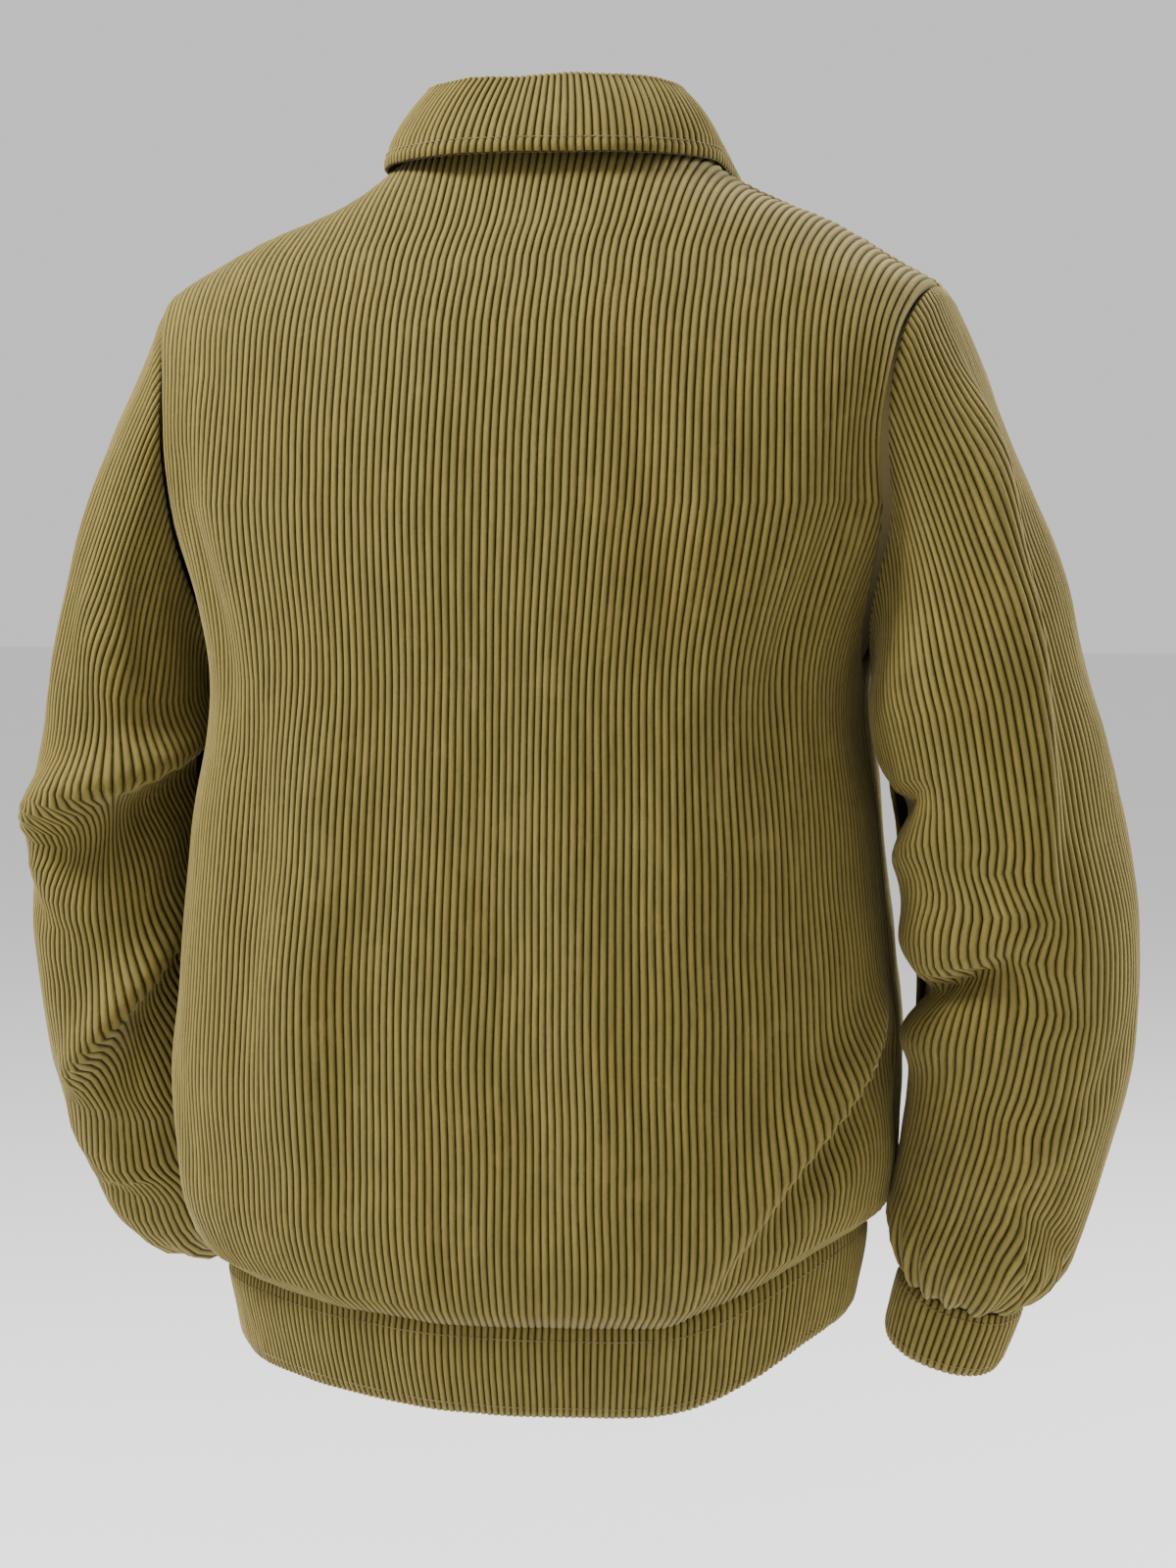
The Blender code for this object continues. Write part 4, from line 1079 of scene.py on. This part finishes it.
def make_collar():
    """The collar: a stand that rises from the neck seam, and a fall that rolls over and turns down."""
    places, coarse, turns = collar_columns()
    edge, middle, top, inner = collar_half(turns)
    rows = []
    for share in np.linspace(0.0, 1.0, FALL_ROWS + 1):
        pull = 2.0 * middle - 0.5 * (edge + top)
        rows.append((1.0 - share) ** 2 * edge + 2.0 * share * (1.0 - share) * pull + share ** 2 * top)
    over = 0.5 * (top + inner)
    reach = top - over
    height = np.linalg.norm(reach, axis=1, keepdims=True) * [0.0, 0.0, 1.0] * ROLL_FULLNESS
    for angle in np.linspace(0.0, np.pi, ROLL_ROWS + 1)[1:]:
        rows.append(over + reach * np.cos(angle) + height * np.sin(angle))
    grid = across_neck(np.array(rows), places)
    steps = np.linalg.norm(np.diff(grid, axis=0), axis=2)
    deep = np.concatenate([np.zeros((1, len(places))), np.cumsum(steps, axis=0)])
    across = np.broadcast_to(places, grid.shape[:2])
    normals = outward(grid, -1)
    grid = grid + normals * unevenness("collar", across, deep)[..., None]
    filled = np.ones((grid.shape[0] - 1, len(coarse) - 1), bool)
    dips = seam_dip(grid, grid[0], grid[:, 0], grid[:, -1])
    ends = np.abs(places).max() - np.abs(across)
    dips = dips + stitch_dip(np.minimum(deep, ends) - COLLAR_STITCHES)
    fall = cloth_shell("cloth_collar_fall", grid, normals, across, deep, coarse, filled, dips, -1)
    fall_grid = grid

    seam = neck_seam(turns)
    shares = np.linspace(0.0, 1.0, STAND_ROWS + 1)[:, None, None]
    lowered = inner - [0.0, 0.0, EASE * 2.0]
    grid = across_neck(seam * (1.0 - shares) + lowered * shares, places)
    across = np.broadcast_to(places, grid.shape[:2])
    deep = np.broadcast_to(shares[..., 0] * STAND_HEIGHT, grid.shape[:2])
    filled = np.ones((STAND_ROWS, len(coarse) - 1), bool)
    dips = seam_dip(grid, grid[0])
    stand = cloth_shell("cloth_collar_stand", grid, outward(grid, -1), across, deep, coarse, filled,
                        dips, -1)
    return fall, stand, fall_grid, places


# ---------------------------------------------------------------- thread and buttons
def capsules(name, starts, ends, radius, bow=0.0, normals=None):
    """Many short round threads, joined in one mesh, each from a start to an end."""
    starts, ends = np.asarray(starts, float), np.asarray(ends, float)
    way = unit(ends - starts)
    if normals is None:
        normals = np.where(np.abs(way[:, 2:]) < 0.9, [[0.0, 0.0, 1.0]], [[1.0, 0.0, 0.0]])
    side = unit(np.cross(way, normals))
    up = np.cross(side, way)
    turns = np.arange(THREAD_SIDES) * 2.0 * np.pi / THREAD_SIDES
    rings = []
    for share, wide in THREAD_STATIONS:
        centre = starts + (ends - starts) * share + up * (bow * 4.0 * share * (1.0 - share))
        for turn in turns:
            rings.append(centre + (side * np.cos(turn) + up * np.sin(turn)) * radius * wide)
    points = np.stack(rings, axis=1)
    faces = []
    last = (len(THREAD_STATIONS) - 1) * THREAD_SIDES
    for i in range(len(THREAD_STATIONS) - 1):
        for j in range(THREAD_SIDES):
            k = (j + 1) % THREAD_SIDES
            a, b = i * THREAD_SIDES, (i + 1) * THREAD_SIDES
            faces.append([a + j, b + j, b + k, a + k])
    faces.append(list(range(THREAD_SIDES)))
    faces.append(list(range(last + THREAD_SIDES - 1, last - 1, -1)))
    every = [[n + i * points.shape[1] for n in face] for i in range(len(starts)) for face in faces]
    mesh = bpy.data.meshes.new(name)
    mesh.from_pydata(points.reshape(-1, 3).tolist(), [], every)
    mesh.shade_smooth()
    return added(name, mesh)


def row_at(grid, depths, depth):
    """The line across a grid at which its depths, one list for all columns, reach a value."""
    at = np.interp(depth, depths, np.arange(len(depths)))
    low = min(int(at), len(depths) - 2)
    return grid[low] + (grid[low + 1] - grid[low]) * (at - low)


def along_line(line, normals, step):
    """Evenly spaced points on a line, with the normal at each."""
    keep = ~np.isnan(line[:, 0]) & ~np.isnan(normals[:, 0])
    line, normals = line[keep], normals[keep]
    way = line_way(line)
    at = np.arange(0.5 * step, way[-1] - 0.5 * step, step)
    points = np.stack([np.interp(at, way, line[:, k]) for k in range(3)], axis=-1)
    facing = np.stack([np.interp(at, way, normals[:, k]) for k in range(3)], axis=-1)
    return points, unit(facing)


def topstitch(name, lines):
    """Rows of topstitching, joined in one mesh. lines are pairs of a line and its normals."""
    starts, ends, facing = [], [], []
    for line, normals in lines:
        points, up = along_line(line, normals, STITCH_STEP / 2)
        points = points + up * STITCH_LIFT
        count = (len(points) - 1) // 2
        first, second = points[0:2 * count:2], points[1:2 * count:2]
        starts.append(first)
        ends.append(first + (second - first) * 2.0 * STITCH_FILL)
        facing.append(up[0:2 * count:2])
    return capsules(name, np.concatenate(starts), np.concatenate(ends), THREAD_RADIUS, STITCH_BOW,
                    np.concatenate(facing))


def button_axes(name):
    """Centre of a solid button and its directions, the last of them out of the front."""
    points = np.array([v.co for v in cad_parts[name].data.vertices])
    centre = 0.5 * (points.min(axis=0) + points.max(axis=0))
    out = np.linalg.svd(points - centre, full_matrices=False)[2][2]
    out = out * -np.sign(out[1])
    right = unit(np.cross([0.0, 0.0, 1.0], out))
    return centre, right, np.cross(out, right), out


def button_mesh():
    """A dished button with a rounded rim and four holes, facing +Z."""
    half = BUTTON_THICKNESS / 2
    mesh = bpy.data.meshes.new("button_shape")
    shape = bmesh.new()
    profile = [shape.verts.new((r * BUTTON_RADIUS, 0.0, z * half)) for r, z in BUTTON_PROFILE]
    for a, b in zip(profile[:-1], profile[1:]):
        shape.edges.new((a, b))
    bmesh.ops.spin(shape, geom=shape.verts[:] + shape.edges[:], axis=(0.0, 0.0, 1.0), cent=(0.0, 0.0, 0.0),
                   angle=2.0 * math.pi, steps=BUTTON_SIDES, use_duplicate=False)
    bmesh.ops.remove_doubles(shape, verts=shape.verts, dist=1e-6)
    bmesh.ops.recalc_face_normals(shape, faces=shape.faces)
    shape.to_mesh(mesh)
    shape.free()
    disc = added("button_disc", mesh)
    cutters = bmesh.new()
    for x, y in button_holes():
        made = bmesh.ops.create_cone(cutters, cap_ends=True, segments=20, radius1=HOLE_RADIUS,
                                     radius2=HOLE_RADIUS, depth=4.0 * BUTTON_THICKNESS)
        bmesh.ops.translate(cutters, verts=made["verts"], vec=(x, y, 0.0))
    cutter_mesh = bpy.data.meshes.new("button_cutters")
    cutters.to_mesh(cutter_mesh)
    cutters.free()
    cutter = added("button_cutter", cutter_mesh)
    cut = disc.modifiers.new("holes", "BOOLEAN")
    cut.object = cutter
    bpy.context.view_layer.update()
    done = bpy.data.meshes.new_from_object(disc.evaluated_get(bpy.context.evaluated_depsgraph_get()))
    bpy.data.objects.remove(disc)
    bpy.data.objects.remove(cutter)
    done.shade_smooth()
    done.set_sharp_from_angle(angle=math.radians(40.0))
    return done


def button_holes():
    """Centres of the four holes."""
    return [(x, y) for x in (-HOLE_SPACING, HOLE_SPACING) for y in (-HOLE_SPACING, HOLE_SPACING)]


def make_buttons(plastic, thread):
    """The buttons on their solids' places, with the thread that holds each and its buttonhole."""
    mesh = button_mesh()
    mesh.materials.append(plastic)
    for number in range(1, BUTTON_COUNT + 1):
        name = "button_%d" % number
        centre, right, up, out = button_axes(name)
        disc = added("button_disc_%d" % number, mesh.copy())
        axes = np.column_stack([right, up, out, centre])
        disc.matrix_world = Matrix(np.vstack([axes, [0, 0, 0, 1]]).tolist())
        dress(disc, None, "button", name)
        starts, ends = [], []
        for x in (-HOLE_SPACING, HOLE_SPACING):
            for step in THREAD_PLACES:
                shift = right * (x + step * HOLE_RADIUS) + out * BUTTON_THICKNESS * THREAD_TOP
                starts.append(centre + shift - up * HOLE_SPACING)
                ends.append(centre + shift + up * HOLE_SPACING)
        for x, y in button_holes():
            foot = (centre + right * x * SHANK_SPREAD + up * y * SHANK_SPREAD
                    - out * (BUTTON_THICKNESS / 2 + SHANK))
            starts.append(foot)
            ends.append(centre + right * x + up * y + out * BUTTON_THICKNESS * SHANK_TOP)
        dress(capsules("button_thread_%d" % number, starts, ends, THREAD_RADIUS * BUTTON_THREAD), thread)
        make_buttonhole(number, centre, right, up, out, thread)


def make_buttonhole(number, centre, right, up, out, thread):
    """Close stitches round the slit that a button comes through, level with the cloth."""
    middle = centre - out * (BUTTON_THICKNESS / 2 + SHANK * HOLE_LEVEL) - right * HOLE_SHIFT
    starts, ends = [], []
    for x in np.arange(-HOLE_LENGTH / 2, HOLE_LENGTH / 2, THREAD_RADIUS * HOLE_STEP):
        for side in (-1.0, 1.0):
            starts.append(middle + right * x + up * side * HOLE_SLIT)
            ends.append(middle + right * x + up * side * HOLE_BAND)
    dress(capsules("buttonhole_%d" % number, starts, ends, THREAD_RADIUS), thread)


# ---------------------------------------------------------------- materials
def node(tree, kind, inputs=None, **settings):
    """A shader node with its settings, and its inputs given as values or as other nodes' outputs."""
    made = tree.nodes.new(kind)
    for key, value in settings.items():
        setattr(made, key, value)
    for key, value in (inputs or {}).items():
        if isinstance(value, bpy.types.NodeSocket):
            tree.links.new(value, made.inputs[key])
        else:
            made.inputs[key].default_value = value
    return made


def new_material(name):
    """An empty node material: its tree, its shader and itself."""
    material = bpy.data.materials.new(name)
    material.use_nodes = True
    return material.node_tree, material.node_tree.nodes["Principled BSDF"], material


def colour_ramp(tree, fac, stops):
    """A colour ramp through the given (place, colour) stops."""
    made = node(tree, "ShaderNodeValToRGB", {"Fac": fac})
    made.color_ramp.interpolation = "EASE"
    while len(made.color_ramp.elements) < len(stops):
        made.color_ramp.elements.new(0.5)
    for element, (place, colour) in zip(made.color_ramp.elements, stops):
        element.position = place
        element.color = (*colour, 1.0)
    return made.outputs["Color"]


def stretched_noise(tree, vector, kind):
    """One of the noises, on coordinates that are first multiplied along each axis."""
    scale, detail = NOISES[kind]
    mapping = node(tree, "ShaderNodeMapping", {"Vector": vector, "Scale": scale})
    made = node(tree, "ShaderNodeTexNoise",
                {"Vector": mapping.outputs["Vector"], "Scale": 1.0,
                 "Detail": detail, "Roughness": NOISE_ROUGHNESS})
    return made.outputs["Fac"]


def maths(tree, operation, first, second=0.0, third=0.0):
    """The output of a Math node."""
    made = node(tree, "ShaderNodeMath", {0: first, 1: second, 2: third}, operation=operation)
    return made.outputs["Value"]


def ranged(tree, value, low, high, **bounds):
    """A value spread over the range from low to high."""
    sizes = {"Value": value, "To Min": low, "To Max": high, **bounds}
    return node(tree, "ShaderNodeMapRange", sizes).outputs["Result"]


def bumped(tree, shader, bump, height):
    """Gives a shader a bump from a height."""
    strength, distance = bump
    made = node(tree, "ShaderNodeBump", {"Strength": strength, "Distance": distance, "Height": height})
    tree.links.new(made.outputs["Normal"], shader.inputs["Normal"])


def set_inputs(shader, values):
    """Gives a shader's inputs fixed values."""
    for name, value in values.items():
        shader.inputs[name].default_value = value


def mixed(tree, fac, first, second, blend="MIX"):
    """The output of a colour Mix node."""
    made = node(tree, "ShaderNodeMix", {0: fac, 6: first, 7: second}, data_type="RGBA", blend_type=blend)
    return made.outputs[2]


def corduroy_material():
    """Cut pile in ridges: darker in the grooves, partly the backing's own colour and partly painted shade,
    brighter fibre tips on top, uneven nap.
    """
    tree, shader, material = new_material("corduroy_pile")
    wale = node(tree, "ShaderNodeAttribute", attribute_name="wale").outputs["Fac"]
    wrong = node(tree, "ShaderNodeAttribute", attribute_name="wrong").outputs["Fac"]
    place = node(tree, "ShaderNodeAttribute", attribute_name="cloth").outputs["Vector"]
    solid = node(tree, "ShaderNodeTexCoord").outputs["Object"]

    streaks = stretched_noise(tree, place, "streaks")
    tufts = stretched_noise(tree, place, "tufts")
    lots = stretched_noise(tree, place, "lots")
    patches = stretched_noise(tree, solid, "patches")
    rubbed = stretched_noise(tree, solid, "rubbed")

    lifted = maths(tree, "MULTIPLY_ADD", streaks, STREAK_SHARE, wale)
    lifted = maths(tree, "MULTIPLY_ADD", tufts, TUFT_SHARE, lifted)
    lifted = maths(tree, "ADD", lifted, PILE_SINK)
    # painted shade: the ramp darkens the grooves between the wales, besides the backing's own darker colour
    # there
    pile = colour_ramp(tree, lifted, PILE_AND_GROOVE_SHADE_STOPS)
    warm = mixed(tree, maths(tree, "MULTIPLY", patches, PATCH_SHARE), pile, WARM_TINT, "MULTIPLY")
    ochre = maths(tree, "MULTIPLY", maths(tree, "GREATER_THAN", rubbed, RUBBED_FROM), RUBBED_SHARE)
    faded = mixed(tree, ochre, warm, FADED)
    tone = ranged(tree, lots, *LOTS_TONE, **LOTS_SPAN)
    toned = node(tree, "ShaderNodeVectorMath", {0: faded, "Scale": tone}, operation="SCALE")

    weave = node(tree, "ShaderNodeTexChecker",
                 {"Vector": place, "Scale": WEAVE_SCALE, "Color1": WEAVE_DARK, "Color2": WEAVE_PALE})
    colour = mixed(tree, wrong, toned.outputs["Vector"], weave.outputs["Color"])
    tree.links.new(colour, shader.inputs["Base Color"])
    tree.links.new(ranged(tree, tufts, *PILE_ROUGHNESS), shader.inputs["Roughness"])
    fibres = stretched_noise(tree, place, "fibres")
    height = maths(tree, "MULTIPLY_ADD", tufts, TUFT_BUMP, fibres)
    bumped(tree, shader, PILE_BUMP, height)
    set_inputs(shader, PILE_SURFACE)
    return material


def thread_material():
    """Twisted sewing thread, a shade darker than the pile."""
    tree, shader, material = new_material("sewing_thread")
    solid = node(tree, "ShaderNodeTexCoord").outputs["Object"]
    twist = stretched_noise(tree, solid, "twist")
    tree.links.new(colour_ramp(tree, twist, THREAD_STOPS), shader.inputs["Base Color"])
    bumped(tree, shader, THREAD_BUMP, twist)
    set_inputs(shader, THREAD_SURFACE)
    return material


def plastic_material():
    """Dark brown cast plastic, with faint clouding and a satin face rubbed unevenly."""
    tree, shader, material = new_material("button_plastic_satin")
    solid = node(tree, "ShaderNodeTexCoord").outputs["Object"]
    cloud = stretched_noise(tree, solid, "cloud")
    tree.links.new(colour_ramp(tree, cloud, PLASTIC_STOPS), shader.inputs["Base Color"])
    rub = stretched_noise(tree, solid, "rub")
    tree.links.new(ranged(tree, rub, *PLASTIC_ROUGHNESS), shader.inputs["Roughness"])
    bumped(tree, shader, PLASTIC_BUMP, rub)
    return material


# ---------------------------------------------------------------- stage
def make_stage():
    """A plain pale floor below the jacket, and soft studio lights."""
    low, high = frame_box
    centre = 0.5 * (low + high)
    floor_mesh = bpy.data.meshes.new("floor")
    half = FLOOR_HALF
    corners = [(-half, -half, 0.0), (half, -half, 0.0), (half, half, 0.0), (-half, half, 0.0)]
    floor_mesh.from_pydata(corners, [], [(0, 1, 2, 3)])
    floor = added("floor", floor_mesh)
    floor.location = (0.0, 0.0, low.z - FLOOR_DROP)
    _, shader, material = new_material("pale_floor")
    set_inputs(shader, FLOOR_SURFACE)
    floor_mesh.materials.append(material)
    for name, place, size, power in LIGHTS:
        lamp = bpy.data.lights.new(name, "AREA")
        lamp.size = size
        lamp.energy = power
        light = added(name, lamp)
        light.location = centre + Vector(place)
        light.rotation_euler = (-Vector(place)).to_track_quat("-Z", "Y").to_euler()
    world = bpy.data.worlds.new("studio")
    world.use_nodes = True
    world.node_tree.nodes["Background"].inputs["Color"].default_value = (1.0, 1.0, 1.0, 1.0)
    world.node_tree.nodes["Background"].inputs["Strength"].default_value = WORLD_STRENGTH
    bpy.context.scene.world = world


def make_camera():
    """A camera behind the jacket and a little to its left, almost level."""
    low, high = frame_box
    target = 0.5 * (low + high) + Vector(AIM)
    azimuth, elevation = math.radians(CAMERA_AZIMUTH), math.radians(CAMERA_ELEVATION)
    back = Vector((math.sin(azimuth) * math.cos(elevation), -math.cos(azimuth) * math.cos(elevation),
                   math.sin(elevation)))
    camera = added("camera", bpy.data.cameras.new("camera"))
    camera.location = target + back * CAMERA_DISTANCE
    camera.rotation_euler = (-back).to_track_quat("-Z", "Y").to_euler()
    camera.data.lens = CAMERA_LENS
    camera.data.dof.use_dof = False
    bpy.context.scene.camera = camera


# ---------------------------------------------------------------- the whole jacket
def dress(piece, material, slot=None, *nodes):
    """Gives a piece its material, makes it ride with the jacket, and hides its solids. slot is not used."""
    if material is not None:
        piece.data.materials.append(material)
    if nodes:
        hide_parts(*nodes)
    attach(piece, "root")
    return piece


def make_jacket():
    """Every visible piece of the jacket."""
    pile, thread, plastic = corduroy_material(), thread_material(), plastic_material()
    back = make_back()
    right, right_grid, right_places = make_front("front_right", -1)
    left, left_grid, left_places = make_front("front_left", 1)
    band, band_grid = make_band()
    sleeves = {name: make_sleeve(name, side) for name, side in (("right", -1), ("left", 1))}
    cuffs = {name: make_cuff(name, side) for name, side in (("right", -1), ("left", 1))}
    fall, stand, fall_grid, fall_places = make_collar()
    tubes = [*sleeves.values(), *[cuff for cuff, _ in cuffs.values()]]
    for piece in (back, right, left, band, fall, stand, *tubes):
        dress(piece, pile, "corduroy", piece.name.replace("cloth_", ""))

    rows = []
    for name, grid, facing, depths, marks in band_cuff_rows(band_grid, cuffs):
        normals = outward(grid, facing)
        for mark in marks:
            rows.append((name, row_at(grid, depths, mark), row_at(normals, depths, mark)))
    for name in ("hem_band", "cuff_right", "cuff_left"):
        dress(topstitch("stitches_" + name, [r[1:] for r in rows if r[0] == name]), thread)
    for name, grid, places, side in (("front_left", left_grid, left_places, 1),
                                     ("front_right", right_grid, right_places, -1)):
        column = int(np.argmin(np.abs(places + OVERLAP - FRONT_STITCHES)))
        normals = outward(grid, side)
        dress(topstitch("stitches_" + name, [(grid[:, column], normals[:, column])]), thread)
    dress(topstitch("stitches_collar_fall", collar_lines(fall_grid, fall_places)), thread)
    make_buttons(plastic, thread)


def band_cuff_rows(band_grid, cuffs):
    """The grids that carry level rows of topstitching, with their depths and the rows' places."""
    heights = np.linspace(BAND_TOP - BAND_HEIGHT, BAND_TOP - SEAM, BAND_ROWS + 1)
    found = [("hem_band", band_grid, -1, heights,
              (BAND_TOP - BAND_STITCHES, BAND_TOP - BAND_HEIGHT + BAND_STITCHES))]
    depths = np.linspace(2.0 * SEAM, CUFF_LENGTH, CUFF_ROWS + 1)
    for name, facing in (("right", 1), ("left", -1)):
        found.append(("cuff_" + name, cuffs[name][1], facing, depths,
                      (CUFF_STITCHES, CUFF_LENGTH - CUFF_STITCHES)))
    return found


def collar_lines(grid, places):
    """The row of topstitching along the fall's free edge, which stops short of its two ends."""
    depths = line_way(grid[:, grid.shape[1] // 2])
    normals = outward(grid, -1)
    inside = np.abs(places) < np.abs(places).max() - COLLAR_STITCHES
    return [tuple(row_at(lines, depths, COLLAR_STITCHES)[inside] for lines in (grid, normals))]


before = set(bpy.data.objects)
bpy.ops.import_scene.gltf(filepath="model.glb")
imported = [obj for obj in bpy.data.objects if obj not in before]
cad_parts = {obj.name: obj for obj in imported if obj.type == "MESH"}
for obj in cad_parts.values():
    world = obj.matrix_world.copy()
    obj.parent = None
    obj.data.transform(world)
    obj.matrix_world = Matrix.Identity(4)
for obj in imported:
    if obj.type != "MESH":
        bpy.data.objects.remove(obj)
frame_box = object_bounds()
make_jacket()
make_stage()
make_camera()
